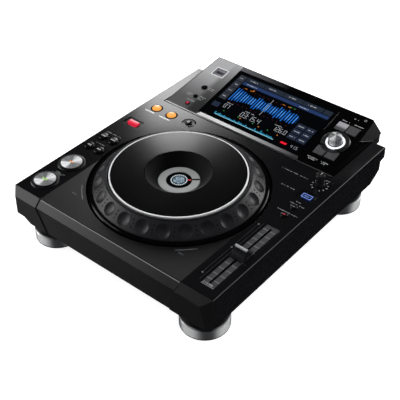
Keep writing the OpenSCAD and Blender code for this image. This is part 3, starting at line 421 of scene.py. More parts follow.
# Painted reflection: the bar is bright at its left end and darker towards the right, and its front lip
# darker sooner.
rightward = add(tree, "MapRange", (along(tree, X), -25.0, 75.0))
reflection_fade = add(tree, "Math", (rightward, 0.7), operation="POWER")
second_finish(shader, reflection_fade, "#3a3a3c", 0.40)
lip = inside(tree, along(tree, PANEL_S, PANEL_ZERO), -9.0, LIP_TOP)
lip_reflection_fade = add(tree, "MapRange", (along(tree, X), -125.0, -30.0))
second_finish(shader, overlap(tree, lip, lip_reflection_fade), "#343436", 0.40)
dress(trim_aluminium, "display_trim_bar")
dress(brushed("ground_steel", "#a8aaac", 0.3)[0], "jog_bearings", "browse_shaft", "case_screws",
      "encoder_disc", "jog_base_plate", "jog_spindle")
dress(brushed("gilt_jack", "#d8bc6a", 0.25)[0], "audio_jacks")
dress(brushed("plated_socket_steel", "#b4b5b7", 0.28)[0], "data_sockets")
print("the trim bar's lip ends", LIP_TOP, "mm up the slope")

# %% Make the spun metals
RING_SHARE, STREAK_SHARE = 0.5, 2.2
MEANS = 0.5 * RING_SHARE + 0.56 * STREAK_SHARE  # what the rings and streaks add on average
PAINTED_FAN_TURN = math.radians(68)
BUTTON_R = 13.3


def spun(name, dark, bright, middle, fans, turn, metal, rim):
    """Spun metal: rings, streaks and bright fans painted round a middle as its reflection, black beyond
    the rim.
    """
    material, tree, shader = new_material(name, bright, 0.4, Metallic=metal)
    dx, dy = along(tree, X, middle[0]), along(tree, Y, middle[1])
    angle = add(tree, "Math", (dy, dx), operation="ARCTAN2")
    phase = add(tree, "Math", (angle, fans, -turn * fans), operation="MULTIPLY_ADD")
    wave = add(tree, "Math", (phase,), operation="COSINE")
    share = add(tree, "MapRange", (wave, -0.6, 0.95), interpolation_type="SMOOTHSTEP")
    rings = add(tree, "TexNoise", {"W": distance(tree, dx, dy), "Scale": 2.2}, noise_dimensions="1D")
    flat = add(tree, "CombineXYZ", (dx, dy))
    outward = add(tree, "VectorMath", (flat,), operation="NORMALIZE")
    streaks = add(tree, "TexNoise", {"Vector": outward, "Scale": 3.6, "Detail": 2.0})
    ringed = add(tree, "Math", (rings, RING_SHARE, share), operation="MULTIPLY_ADD")
    streaked = add(tree, "Math", (streaks, STREAK_SHARE, ringed), operation="MULTIPLY_ADD")
    level = add(tree, "Math", (streaked, MEANS), operation="SUBTRACT", use_clamp=True)
    colour = add(tree, "Mix", {0: level, 6: linear(dark), 7: linear(bright)}, data_type="RGBA")
    tree.links.new(colour.outputs[2], shader.inputs["Base Color"])
    second_finish(shader, ring(tree, middle, rim, FAR), "#050506", 0.6)
    return material


# Painted reflection: two bright fans, one to each side, on each big button.
for node in ("play_button", "cue_button"):
    metal = spun("spun_" + node, "#6e7072", "#fcfdfe", top_of(node), 2, PAINTED_FAN_TURN, 0.15, BUTTON_R)
    dress(metal, node)
print("spun buttons turn black", BUTTON_R, "mm from their middle")

# %% [markdown]
# The selector knob is chrome-plated and fluted. The plating on its top is turned, and three bright
# fans are painted on it as its reflection. The port's thin frame mirrors the white room, so it is
# drawn white, round a slate-grey plastic block.

# %% Make the knob's chrome and the port
PORT_X, PORT_S = -104.0, 83.2
FRAME_X, FRAME_S = 9.02, 7.04
knob_at = on_panel(SELECTOR_X, SELECTOR_S) / MM
# Painted reflection: three bright fans on the knob's top.
chrome = spun("bright_knob_chrome", "#787a7c", "#fcfdfe", knob_at, 3, 0.5, 0.4, FAR - 1)
port_mix, tree, shader = moulded("port_frame_and_block", "#8e8e96", 0.3, depth_mm=0.005)
shares = []
for offset, half in ((along(tree, X, PORT_X), FRAME_X),
                     (along(tree, PANEL_S, PANEL_ZERO + PORT_S), FRAME_S)):
    size = add(tree, "Math", (offset,), operation="ABSOLUTE")
    shares.append(add(tree, "Math", (size, half), operation="DIVIDE"))
outermost = add(tree, "Math", shares, operation="MAXIMUM")
# Painted reflection: the port's frame is drawn white.
frame_mask = inside(tree, outermost, 1.0, FAR, 0.01)
second_finish(shader, frame_mask, "#ffffff", 0.3)
dress(chrome, "browse_knob")
dress(port_mix, "usb_a_port")
print("the port's white frame starts", FRAME_X, "mm from its middle")

# %% [markdown]
# ## Silver feet
#
# Each foot is a turned aluminium barrel with a rubber sole. Both are one solid, so one material
# tells them apart by height: the lowest three millimetres are rubber. The lathe's rings run round
# the barrel, and the four bright bands up its side, a quarter turn apart, are painted reflections.
# Lengths are taken without their sign, so the pattern of one foot is mirrored to all four.

# %% Turn the feet
SOLE_TOP = 3.0
front_foot, rear_foot = top_of("foot_front_right"), top_of("foot_rear_right")
feet_middle = (front_foot[1] + rear_foot[1]) / 2
foot_metal, tree, shader = new_material("turned_foot_aluminium", "#f0f1f2", 0.45, Metallic=0.5)
height = along(tree, Z)
sides = []
for direction, zero, reach in ((X, 0.0, front_foot[0]), (Y, feet_middle, rear_foot[1] - feet_middle)):
    size = add(tree, "Math", (along(tree, direction, zero),), operation="ABSOLUTE")
    sides.append(add(tree, "Math", (size, reach), operation="SUBTRACT"))
# Painted reflection: the colour turns from dark to bright four times round each foot.
angle = add(tree, "Math", (sides[1], sides[0]), operation="ARCTAN2")
quarters = add(tree, "Math", (angle, 4.0), operation="MULTIPLY")
wave = add(tree, "Math", (quarters,), operation="COSINE")
share = add(tree, "MapRange", (wave, -1.0, 0.9), interpolation_type="SMOOTHSTEP")
bands = add(tree, "Mix", {0: share, 6: linear("#505254"), 7: linear("#fafbfc")}, data_type="RGBA")
turns = add(tree, "TexNoise", {"W": height, "Scale": 2.5}, noise_dimensions="1D")
bump = add(tree, "Bump", {"Height": turns, "Strength": 0.2, "Distance": 0.02 * MM})
tree.links.new(bands.outputs[2], shader.inputs["Base Color"])
tree.links.new(bump.outputs["Normal"], shader.inputs["Normal"])
second_finish(shader, inside(tree, height, -5.0, SOLE_TOP, 0.05), "#0e0e0f", 0.7)
dress(foot_metal, "foot_front_left", "foot_front_right", "foot_rear_left", "foot_rear_right")
print("feet stand", round(2 * front_foot[0], 1), "mm apart")

# %% [markdown]
# ## Lit plastics and ink
#
# A lit key is a translucent cap over a small lamp. Its glow is a little uneven and it keeps a
# shiny skin, so the shader has both an emission, with soft clouds 3 mm across, and a gloss.
# Ink is dull and a little uneven, as it comes through the printing screen.

# %% Make the lit plastics
GLOW_DRIFT = 0.15


def lit(name, base, glow, strength, roughness=0.3):
    """Plastic with a lamp behind it, a little uneven in its glow."""
    material, tree, shader = new_material(name, base, roughness)
    place = add(tree, "TexCoord").outputs["Object"]
    cloud = add(tree, "TexNoise", {"Vector": place, "Scale": 1 / (3 * MM), "Detail": 1.0})
    dim, bright = strength * (1 - GLOW_DRIFT), strength * (1 + GLOW_DRIFT)
    level = add(tree, "MapRange", (cloud, 0.0, 1.0, dim, bright))
    shader.inputs["Emission Color"].default_value = linear(glow)
    tree.links.new(level.outputs["Result"], shader.inputs["Emission Strength"])
    return material


dress(lit("lit_orange_key", "#c07830", "#ffae54", 0.66), "loop_in_key", "loop_out_key")
dress(lit("lit_red_lever", "#a01c30", "#ff2a4a", 0.55), "direction_lever")
dress(lit("lit_white_ring", "#c8cacc", "#f8f9ff", 0.85), "selector_light_ring")
dress(lit("mode_key_face", "#0a0e1c", "#1c3470", 0.28), "jog_mode_key")
lit_blue_edge = lit("lit_blue_edge", "#6078c0", "#88acff", 0.85)
mark_green = lit("lit_green_mark", "#6c9a2c", "#b4f050", 0.75)
mark_orange = lit("lit_orange_mark", "#c87828", "#ff9c3c", 0.75)
mark_red = lit("lit_red_mark", "#801828", "#e03050", 0.40)
print("a lit cap's glow varies by", round(100 * GLOW_DRIFT), "percent")

# %% Make the inks and the gaps
ink_white, ink_grey, ink_dim = (moulded(name, base, 0.6, depth_mm=0.005)[0] for name, base in (
    ("white_ink", "#b4b6b8"), ("grey_ink", "#8c8e90"), ("dim_ink", "#2c2c2e")))
# Painted shade: a flat black for the shade in the gaps round keys, under the panel and in the collar's
# slit.
painted_gap_shade = new_material("shadow_gap", "#020202", 0.9, Specular_IOR_Level=0.05)[0]
print("dressed", len(dressed), "of", len(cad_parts), "pieces")

# %% [markdown]
# ## Printed marks
#
# The white marks are screen-printed ink, a few hundredths of a millimetre thick. A flat mesh
# just above the surface shows them well. The words beside the keys are too small to read from
# here, so a row of short strokes stands in for each, and a row of blocks for the two bold ones
# in front of the loop keys. The strokes' widths follow from a seed.

# %% Tools for print
INK_UP = 0.06


def mesh_piece(name, points, faces, material, body):
    """A thin mesh that rides on a body."""
    mesh = bpy.data.meshes.new(name)
    mesh.from_pydata(points, [], faces)
    mesh.materials.append(material)
    piece = bpy.data.objects.new(name, mesh)
    bpy.context.scene.collection.objects.link(piece)
    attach(piece, body)
    return mesh


def outline_piece(name, outlines, material, place=on_deck, body="case", up=INK_UP):
    """One flat mesh made of many outlines, riding on a body."""
    points, faces = [], []
    for outline in outlines:
        faces.append(list(range(len(points), len(points) + len(outline))))
        points += [place(x, y, up) for x, y in outline]
    mesh_piece(name, points, faces, material, body)


def polar(radius, turn):
    """A point by its distance from the middle and its angle in degrees."""
    return radius * math.cos(math.radians(turn)), radius * math.sin(math.radians(turn))


def bar(x, y, width, height, turn=0.0):
    """A rectangle by its middle, turned by an angle in degrees."""
    c, s = polar(1, turn)
    corners = ((-1, -1), (1, -1), (1, 1), (-1, 1))
    return [(x + c * i * width / 2 - s * j * height / 2, y + s * i * width / 2 + c * j * height / 2)
            for i, j in corners]


def disc(x, y, radius, steps=32):
    """A filled circle."""
    spokes = [polar(radius, 360 * i / steps) for i in range(steps)]
    return [(x + dx, y + dy) for dx, dy in spokes]


def arc(x, y, inner, outer, start, end, step=4.0):
    """A band of a circle between two angles, as a list of four-sided outlines."""
    count = max(1, round(abs(end - start) / step))
    turns = [start + (end - start) * i / count for i in range(count + 1)]
    out = []
    for a, b in zip(turns, turns[1:]):
        corners = polar(inner, a), polar(outer, a), polar(outer, b), polar(inner, b)
        out.append([(x + dx, y + dy) for dx, dy in corners])
    return out


def strokes(x0, x1, y, height=1.5, seed=1, thick=0.55):
    """A row of short strokes that stands in for a printed word."""
    out, x, k = [], x0, seed
    while x < x1 - thick:
        k = (k * 1103515245 + 12345) % 2147483648
        width = thick * (0.8 + 0.8 * (k / 2147483648))
        tall = height * (0.7 + 0.3 * ((k >> 5) % 3) / 2)
        if (k >> 8) % 6:
            out.append(bar(x + width / 2, y, width, tall))
        x += width + thick * 0.7
    return out


print("a 20 mm label has", len(strokes(0, 20, 0)), "strokes")

# %% Print the deck
ARC_INNER, ARC_OUTER = 116.2, 116.8
BLOCK_STEP = 2.7
plain_labels = [
    (-133.8, -119.6, -130.9), (-133.8, -122.0, -132.9), (-144.3, -118.8, -30.7),
    (77.3, 114.5, 49.8), (132.9, 144.3, 61.4), (94.5, 114.4, 23.0),
    (122.7, 142.9, 1.3), (127.6, 135.6, 6.2), (117.2, 144.9, -16.9), (-88.5, -81.5, -147.5),
    (78.0, 85.0, -147.0), (-86.0, -63.0, 37.4), (-138.3, -125.2, -56.4)]
print_grey = [o for i, (x0, x1, y) in enumerate(plain_labels) for o in strokes(x0, x1, y, 1.4, i + 3)]
for start, end in ((-140, -126.5), (-51.4, -39.3)):
    print_grey += arc(0, WHEEL_Y, ARC_INNER, ARC_OUTER, start, end)
print_white = [bar(left + BLOCK_STEP * i, y, 2.3, 1.7 + 0.6 * (i % 2))
               for left, y, count in ((-139.8, 38.8, 6), (-114.8, 38.6, 7)) for i in range(count)]
outline_piece("deck_print", print_grey, ink_grey)
outline_piece("deck_print_bold", print_white, white_ring)
print("deck marks:", len(print_grey) + len(print_white))

# %% Draw the gaps and the tempo scale
# Painted shade: flat black strips for the gap along the panel's foot and its two sides.
gap = [bar(0, PANEL_Y - 0.9, 2 * PANEL_HALF + 3.4, 1.5)]
gap += [bar(side * (PANEL_HALF + 0.9), PANEL_Y + 45, 1.6, 92) for side in (-1, 1)]
outline_piece("panel_gap", gap, painted_gap_shade)
scale_lines = [bar(117.4, -104.5, 0.4, 95.0), bar(121.7, -107.0, 0.4, 114.0)]
outline_piece("tempo_scale", scale_lines, ink_dim)
dots = [disc(117.6, y, 0.9, 12) for y in (-154.0, -103.6, -54.0)]
outline_piece("tempo_dots", dots, ink_grey)
print("tempo scale has", len(scale_lines), "lines and", len(dots), "dots")

# %% Print the panel
panel_labels = [
    (-110, -98, 100.2), (-107, -101, 97.4), (-97.5, -86.5, 50.2), (-97.5, -88.5, 47.4),
    (-118.5, -110.0, 29.6), (-118.5, -111.5, 26.8), (-98.0, -87.0, 31.2), (-98.0, -89.0, 28.4),
    (-98.0, -87.5, 25.6), (-111.5, -98.0, 18.6), (92.0, 104.0, 89.6), (110.0, 124.0, 89.6),
    (89.0, 104.0, 14.6), (109.5, 120.0, 14.6), (92.0, 101.0, 12.0), (111.0, 118.0, 12.0),
    (104.0, 111.0, 99.0)]
panel_print = [o for i, (x0, x1, s) in enumerate(panel_labels)
               for o in strokes(x0, x1, s, 1.5, i + 50, 0.75)]
panel_print += arc(118.6, 102.6, 1.2, 1.7, 120, 420, 20) + [bar(118.6, 103.9, 0.5, 1.8)]
# The port's thin frame, drawn white on the panel as a painted reflection of the white room.
rim = [bar(PORT_X + side * 9.9, PORT_S, 1.0, 17.4) for side in (-1, 1)]
rim += [bar(PORT_X, PORT_S + side * 8.2, 20.8, 1.0) for side in (-1, 1)]
outline_piece("port_rim", rim, white_ring, on_panel)
outline_piece("panel_print", panel_print, ink_white, on_panel)
print("panel marks:", len(panel_print))

# %% [markdown]
# ## Tempo slider
#
# The slider runs over a recessed grey plate with a cross line each 10 mm for the eye to count,
# and a darker cell at each end. The lines repeat evenly, so the plate's material draws them.
# The cap's white line folds over a ridge, so it is a strip of mesh that follows the ridge.

# %% Make the tempo plate
LINE_STEP, LINE_WIDE = 10.0, 1.1
LINE_ZERO = -306.4
TRACK_UP = -0.75
slider_x, slider_y = top_of("tempo_slider").xy
plate_grey, tree, shader = moulded("ruled_plate", "#323234", 0.4, depth_mm=0.01)
second_finish(shader, between(tree, Y, -157.0, -55.0), "#37373a", 0.4)
steps = add(tree, "Math", (along(tree, Y, LINE_ZERO), LINE_STEP), operation="DIVIDE")
phase = add(tree, "Math", (steps,), operation="FRACT")
lines = inside(tree, phase, 0.0, LINE_WIDE / LINE_STEP, 0.01)
second_finish(shader, lines, "#77777b", 0.4)
halves = [bar(side_x, -106.5, 7.0, 120.4) for side_x in (128.8, 138.6)]
halves += [bar(slider_x, slider_y + side * 57.6, 2.9, 5.0) for side in (-1, 1)]
outline_piece("tempo_plate", halves, plate_grey, up=TRACK_UP)
outline_piece("tempo_label", strokes(126.5, 138.8, -163.2, 2.0, 4, 0.7), ink_white, up=TRACK_UP + 0.07)
print("tempo plate lines are", LINE_STEP, "mm apart")

# %% Fold the white line over the cap's ridge
RIDGE = [(-1.35, 9.62), (-1.05, 10.55), (-0.9, 11.2), (-0.84, 11.56), (0.84, 11.56),
         (0.9, 11.2), (1.05, 10.55), (1.35, 9.62)]


def swept_strip(name, profile, x0, x1, material, body):
    """A strip that follows a profile of (y, z) from x0 to x1, just off the surface."""
    points, faces = [], []
    for y, z in profile:
        y += math.copysign(INK_UP, y)
        points += [on_deck(x0, slider_y + y, z), on_deck(x1, slider_y + y, z)]
    for i in range(len(profile) - 1):
        faces.append([2 * i, 2 * i + 1, 2 * i + 3, 2 * i + 2])
    mesh_piece(name, points, faces, material, body)


swept_strip("slider_line", RIDGE, 125.5, 141.9, ink_white, "tempo_slider")
print("slider line is", round(RIDGE[-1][0] * 2, 1), "mm wide")

# %% [markdown]
# ## Finger ring bumps
#
# Between two dimples stand three small bumps in a line down the cone. They are polished domes
# of 1 mm radius and 0.7 mm height. The cone's slope comes from its two edges, so the domes sit
# square on it.

# %% Set the bumps on the cone
def dome_field(name, spots, radius, height, material, body, sides=10, rings=3):
    """Small domes, one for each spot of (middle, normal)."""
    points, faces = [], []
    for middle, normal in spots:
        side = normal.orthogonal().normalized()
        other = normal.cross(side)
        start = len(points)
        for r in range(rings):
            across, upward = polar(1, 90 * r / rings)
            for i in range(sides):
                dx, dy = polar(radius * across, 360 * i / sides)
                points.append((middle + side * dx + other * dy + normal * height * upward) * MM)
        points.append((middle + normal * height) * MM)
        for r in range(rings - 1):
            row = start + r * sides
            for i in range(sides):
                j = (i + 1) % sides
                faces.append([row + i, row + j, row + sides + j, row + sides + i])
        top, row = start + rings * sides, start + (rings - 1) * sides
        faces += [[row + i, row + (i + 1) % sides, top] for i in range(sides)]
    for polygon in mesh_piece(name, points, faces, material, body).polygons:
        polygon.use_smooth = True


BUMP_R, BUMP_TALL = 1.0, 0.7
CONE_LOW, CONE_HIGH = (103.9, 80.6), (88.2, 96.3)
DIMPLES = 24
rise, run = CONE_HIGH[1] - CONE_LOW[1], CONE_LOW[0] - CONE_HIGH[0]
bump_spots = []
for i in range(DIMPLES):
    out = Vector((*polar(1, 360 * (i + 0.5) / DIMPLES), 0))
    normal = (out * rise + Vector((0, 0, run))).normalized()
    for share in (0.28, 0.5, 0.72):
        middle = out * (CONE_LOW[0] - run * share) + Vector((0, WHEEL_Y, CONE_LOW[1] + rise * share))
        bump_spots.append((middle, normal))
dome_field("ring_bumps", bump_spots, BUMP_R, BUMP_TALL, key_black_abs, "jog_wheel")
print("bumps:", len(bump_spots))

# %% [markdown]
# ## Centre display
#
# The middle of the wheel doesn't turn. A small round display sits there inside a grey split
# collar. Its picture is a disc, a mosaic of slate and pale blue cells 1.3 mm wide, with a ring
# of ticks and a red pointer. The shade in the collar's slit is painted as a black strip.

# %% Draw the centre display
LENS_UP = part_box("jog_display_lens")[1].z / MM - DECK_Z
COLLAR_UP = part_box("jog_display_collar")[1].z / MM - DECK_Z
SLIT_TURN = 40


def on_lens(x, y, up=0.0):
    """A point on the centre display, from the wheel's middle."""
    return on_deck(x, WHEEL_Y + y, LENS_UP + up)


def on_collar(x, y, up=0.0):
    """A point on the collar's top, from the wheel's middle."""
    return on_deck(x, WHEEL_Y + y, COLLAR_UP + up)


disc_picture, tree, shader = new_material("centre_picture", "#0a1016", 0.2)
place = add(tree, "TexCoord").outputs["Object"]
cells = add(tree, "TexVoronoi", {"Vector": place, "Scale": 1 / (1.3 * MM)}, distance="CHEBYCHEV")
pattern = add(tree, "ValToRGB", {"Fac": cells.outputs["Color"]})
for element, colour, position in zip(pattern.color_ramp.elements, ("#2c4c66", "#b8d4e4"), (0.25, 0.8)):
    element.color = linear(colour)
    element.position = position
tree.links.new(pattern.outputs["Color"], shader.inputs["Emission Color"])
shader.inputs["Emission Strength"].default_value = 0.6
tick_light = lit("centre_tick_light", "#8c98a0", "#dce8f0", 0.75)
pointer_red = lit("pointer_red", "#a01820", "#ff3020", 0.6)
ticks = [o for i in range(24) for o in arc(0, 0, 8.8, 10.2, 15 * i, 15 * i + 9, 9)]
pointer = bar(*polar(12.4, 37.815), 3.6, 1.5, 38)
slit = bar(*polar(20.4, SLIT_TURN), 8.8, 2.9, SLIT_TURN)
outline_piece("centre_disc", [disc(0, 0, 7.2, 48)], disc_picture, on_lens, up=0.05)
outline_piece("centre_ticks", ticks, tick_light, on_lens)
outline_piece("centre_pointer", [pointer], pointer_red, on_lens, up=0.08)
outline_piece("collar_slit", [slit], painted_gap_shade, on_collar)
print("lens is", round(LENS_UP, 2), "mm above the deck")

# %% [markdown]
# ## Display picture
#
# The picture is made of flat lit shapes on the glass: a near-black ground, a column of slate
# tabs, two bars along the top, a tall blue waveform, thin digits, a low overview wave and a
# block of slate keys. The layout is a plain one of this lesson's own. Layers that cross stand
# a few hundredths of a millimetre apart.

# %% Tools for waves and digits
SEGMENTS = {"0": "abcdef", "1": "bc", "2": "abged", "3": "abgcd", "4": "fgbc", "5": "afgcd",
            "6": "afgedc", "7": "abc", "8": "abcdefg", "9": "abcdfg"}
SEGMENT_PLACES = {"a": (0, 1, 1), "b": (0.5, 0.5, 0), "c": (0.5, -0.5, 0), "d": (0, -1, 1),
                  "e": (-0.5, -0.5, 0), "f": (-0.5, 0.5, 0), "g": (0, 0, 1)}


def wave_height(i, seed):
    """A bar height between 0 and 1 that rises and falls in beats."""
    beat = 1 - (i % 9) / 9
    noise = math.sin(i * 12.9898 + seed) * 43758.5453
    return 0.45 + 0.3 * beat * abs(math.sin(i * 0.13 + seed)) + 0.25 * (noise - math.floor(noise))


def digits(text, x, s, height):
    """Seven-segment digits as bars, from a left edge."""
    out, half, line, wide = [], height / 2, height * 0.075, height * 0.46
    for ch in text:
        if ch in ":.":
            out.append(bar(x, s - half * 0.9, line * 1.3, line * 1.3))
            if ch == ":":
                out.append(bar(x, s + half * 0.2, line * 1.3, line * 1.3))
            x += height * 0.26
            continue
        for seg in SEGMENTS[ch]:
            dx, dy, flat = SEGMENT_PLACES[seg]
            w, h = (wide, line) if flat else (line, half)
            out.append(bar(x + dx * wide + height * 0.2, s + dy * half, w, h))
        x += height * 0.70
    return out


print("the digit 8 has", len(digits("8", 0, 0, 7)), "segments")

# %% Choose the picture's colours
SCREEN_LOOKS = {
    "ground": ("#020304", "#04060a", 0.4, 0.05),
    "wave": ("#062048", "#2478e0", 0.62, 0.1),
    "wave_base": ("#020a16", "#0c2c60", 0.4, 0.1),
    "wave_crest": ("#244c80", "#58a8f8", 0.75, 0.1),
    "blue_bar": ("#0c1428", "#283c68", 0.75, 0.1),
    "slate_bar": ("#0c1016", "#28303c", 0.75, 0.1),
    "tab": ("#101216", "#3a3c46", 0.7, 0.1),
    "key": ("#0c0e14", "#283044", 0.7, 0.1),
    "text": ("#606468", "#ccd0d4", 0.6, 0.1),
    "low_wave": ("#0c4458", "#2488ac", 0.8, 0.1),
    "low_line": ("#5c8c98", "#a8dce8", 0.7, 0.1),
    "red": ("#801018", "#f01c30", 0.85, 0.1),
    "cue": ("#804c18", "#e08828", 0.75, 0.1),
    "green": ("#1c5c30", "#38a050", 0.7, 0.1),
    "dim_dash": ("#401018", "#742028", 0.6, 0.1),
}
screen = {part: lit("picture_" + part, *look) for part, look in SCREEN_LOOKS.items()}


def picture(name, outlines, part, up=INK_UP):
    """One layer of the picture, on the glass."""
    outline_piece("picture_" + name, outlines, screen[part], on_panel, up=up)


print("picture colours:", len(screen))

# %% Draw the ground, the tabs and the bars
LEFT_COLUMN, TAB_TOP, TAB_STEP, TAB_TALL = -69.6, 88.5, 13.2, 12.2
BAR_LEFT, BAR_STEP, BAR_S = -47.5, 31.3, 90.8
KEY_X, KEY_S, KEY_STEP_X, KEY_STEP_S = 54.0, 31.5, 14.4, 10.2
key_cells = [(i, j) for i in (0, 1) for j in (0, 1, 2)]
picture("ground", [bar(0, 53.2, 152, 87)], "ground", 0.03)
picture("tabs", [bar(LEFT_COLUMN, TAB_TOP - TAB_STEP * i, 11.0, TAB_TALL) for i in range(4)], "tab")
picture("slate_bars", [bar(BAR_LEFT + BAR_STEP * i, BAR_S, 30.6, 8.2) for i in range(4)]
        + [bar(69.3, BAR_S, 12.5, 8.2)], "slate_bar")
picture("blue_bar", [bar(6.3, 82.6, 138, 5.8)], "blue_bar")
print("tabs reach down to", round(TAB_TOP - TAB_STEP * 3 - TAB_TALL / 2, 1), "mm")

# %% Draw the waves
WAVE_LEFT, WAVE_STEP, WAVE_S = -60, 4.0, 58.5
LOW_STEP, LOW_S = 2.4, 14.8
wave_x = [WAVE_LEFT + WAVE_STEP * i for i in range(26)]
low_x = [WAVE_LEFT + LOW_STEP * i for i in range(40)]
low_tall = [0.8 + 7.0 * wave_height(7 * i, 2.2) ** 4 for i in range(len(low_x))]
base = [bar(x + 2.0, WAVE_S, WAVE_STEP, 17 * wave_height(i, 2.7)) for i, x in enumerate(wave_x)]
wave = [bar(x, WAVE_S, 1.7, 27 * wave_height(i, 1.3)) for i, x in enumerate(wave_x)]
crest = [bar(x, WAVE_S, 1.0, 17 * wave_height(i, 4.1)) for i, x in enumerate(wave_x) if i % 3]
low = [bar(x, LOW_S + tall / 2, 1.9, tall) for x, tall in zip(low_x, low_tall)]
picture("wave_base", base, "wave_base")
picture("wave", wave, "wave", 0.08)
picture("wave_crest", crest, "wave_crest", 0.1)
picture("low_wave", low, "low_wave")
picture("low_line", [bar(-12, LOW_S, 96, 0.7)], "low_line", 0.09)
print("wave bars:", len(wave), "and", len(low))

# %% Draw the keys and the small signs
picture("keys", [bar(KEY_X + KEY_STEP_X * i, KEY_S + KEY_STEP_S * j, 13.2, 8.8) for i, j in key_cells]
        + [bar(LEFT_COLUMN, 30.5, 11.0, 9.0)], "key")
picture("red_key", [bar(51.0, 16.6, 9.0, 3.2)], "red")
picture("cues", [bar(-52 + 9 * i, 74.6, 4.0, 0.7) for i in (0, 1, 7, 8)] + [bar(-40, 76.2, 2.0, 2.0)]
        + [bar(-24 + 30 * i, 24.0, 1.3, 1.6) for i in range(3)], "cue")
picture("greens", [bar(-52 + 24 * i, 25.0, 1.4, 1.4) for i in range(4)]
        + [bar(22 + 6 * i, 75.4, 3.4, 0.6) for i in range(2)], "green")
picture("dashes", [bar(-56 + 7.0 * i, s, 1.2, 0.8) for s in (73.4, 43.6) for i in range(14)], "dim_dash")
picture("playhead", [bar(-6, WAVE_S, 0.5, 33)], "text", 0.14)
print("keys in the picture:", len(key_cells) + 1)

# %% Write the digits and the words
NUMBERS = [("07", -58, 34, 7.0), ("03:15.4", -28, 31.5, 8.0), ("126.0", 24, 32.5, 7.0),
           ("41.5", 62, 17.0, 4.6)]
labels = [(-58, -48, 40.5, 1.2, 9), (-26, -12, 38.6, 1.2, 5), (22, 34, 38.6, 1.2, 11),
          (-56, -40, 82.6, 1.8, 21), (30, 44, 82.6, 1.8, 31)]
labels += [(-56 + BAR_STEP * i, -43 + BAR_STEP * i, BAR_S, 1.8, 40 + i) for i in range(4)]
labels += [(-72.5, -66.5, TAB_TOP - TAB_STEP * i, 1.6, 80 + i) for i in range(4)]
labels += [(50.0 + KEY_STEP_X * i, 58.5 + KEY_STEP_X * i, KEY_S + KEY_STEP_S * j, 1.6, 60 + i + 2 * j)
           for i, j in key_cells]
words = [o for number in NUMBERS for o in digits(*number)]
words += [o for label in labels for o in strokes(*label)]
picture("text", words, "text", 0.1)
print("text strokes:", len(words))

# %% [markdown]
# ## Key marks
#
# Transport marks are the plain triangles and bars that every player has. Each rides on its own
# key, so it sinks with it, and so does the small red light on the quantize key.

# %% Put marks on the keys
MARK_SIZE = 3.2
QUANTIZE_X, QUANTIZE_S, QUANTIZE_UP = -104.6, 12.0, 1.16


def triangle(x, y, size=MARK_SIZE, way=1):
    """A filled triangle that points right, or left where way is -1."""
    h = size / 2
    return [(x - way * h, y - h), (x + way * h, y), (x - way * h, y + h)][::way]


def mark(node, shapes, material):
    """Shapes around the middle of a deck key, riding on its body."""
    x, y, top = top_of(node)
    outline_piece(node + "_mark", shapes, material, lambda a, b, up: on_deck(x + a, y + b, up), node,
                  up=top - DECK_Z + INK_UP)


mark("search_back_key", [triangle(-1.6, 0, way=-1), triangle(1.6, 0, way=-1)], ink_white)
mark("search_forward_key", [triangle(-1.6, 0), triangle(1.6, 0)], ink_white)
mark("track_back_key", [bar(-3.0, 0, 0.7, MARK_SIZE), triangle(-0.8, 0, way=-1),
                        triangle(2.2, 0, way=-1)], ink_white)
mark("track_forward_key", [bar(3.0, 0, 0.7, MARK_SIZE), triangle(0.8, 0), triangle(-2.2, 0)], ink_white)
mark("play_button", [triangle(-2.2, 0, 3.4), bar(1.2, 0, 0.9, 3.4), bar(3.0, 0, 0.9, 3.4)], mark_green)
mark("cue_button", [bar(0, 0, 6.0, 1.3)], mark_orange)
mark("reloop_key", arc(0, 0, 1.6, 2.2, 40, 320, 20), ink_grey)
mark("tempo_range_key", [bar(0, 0, 3.0, 1.0)], ink_grey)
mark("master_tempo_key", [bar(0, 0, 3.4, 1.6)], mark_red)
outline_piece("quantize_light", [disc(QUANTIZE_X, QUANTIZE_S, 2.3, 20)], mark_red, on_panel,
              "quantize_key", up=QUANTIZE_UP)
mark("jog_mode_key", strokes(-3.2, 3.2, 0, 1.2, 7), lit_blue_edge)

# %% [markdown]
# ## Rings and ticks around the keys
#
# The shade in the gap round a key is painted as a flat black ring: wide round the two loop keys,
# narrow round the four small ones, and two arcs round the reloop key. The speed knob has printed
# ticks round it and a pointer that turns with it, and the jog mode key a blue light all round its edge.

# %% Draw the gaps round the keys
loops = [o for node in ("loop_in_key", "loop_out_key")
         for o in arc(*top_of(node).xy, 6.45, 8.5, 0, 360, 12)]
outline_piece("loop_key_rings", loops, painted_gap_shade)
small = []
for node in SMALL_KEYS:
    low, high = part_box(node)
    radius = (high.x - low.x) / 2 / MM
    small += arc(*top_of(node).xy, radius + 0.2, radius + 1.3, 0, 360, 15)
outline_piece("small_key_rings", small, painted_gap_shade)
sweeps = [o for start, end in ((20, 215), (300, 355))
          for o in arc(*top_of("reloop_key").xy, 7.6, 9.8, start, end, 10)]
outline_piece("reloop_arcs", sweeps, painted_gap_shade)
print("small keys have a radius of", round(radius, 1), "mm")

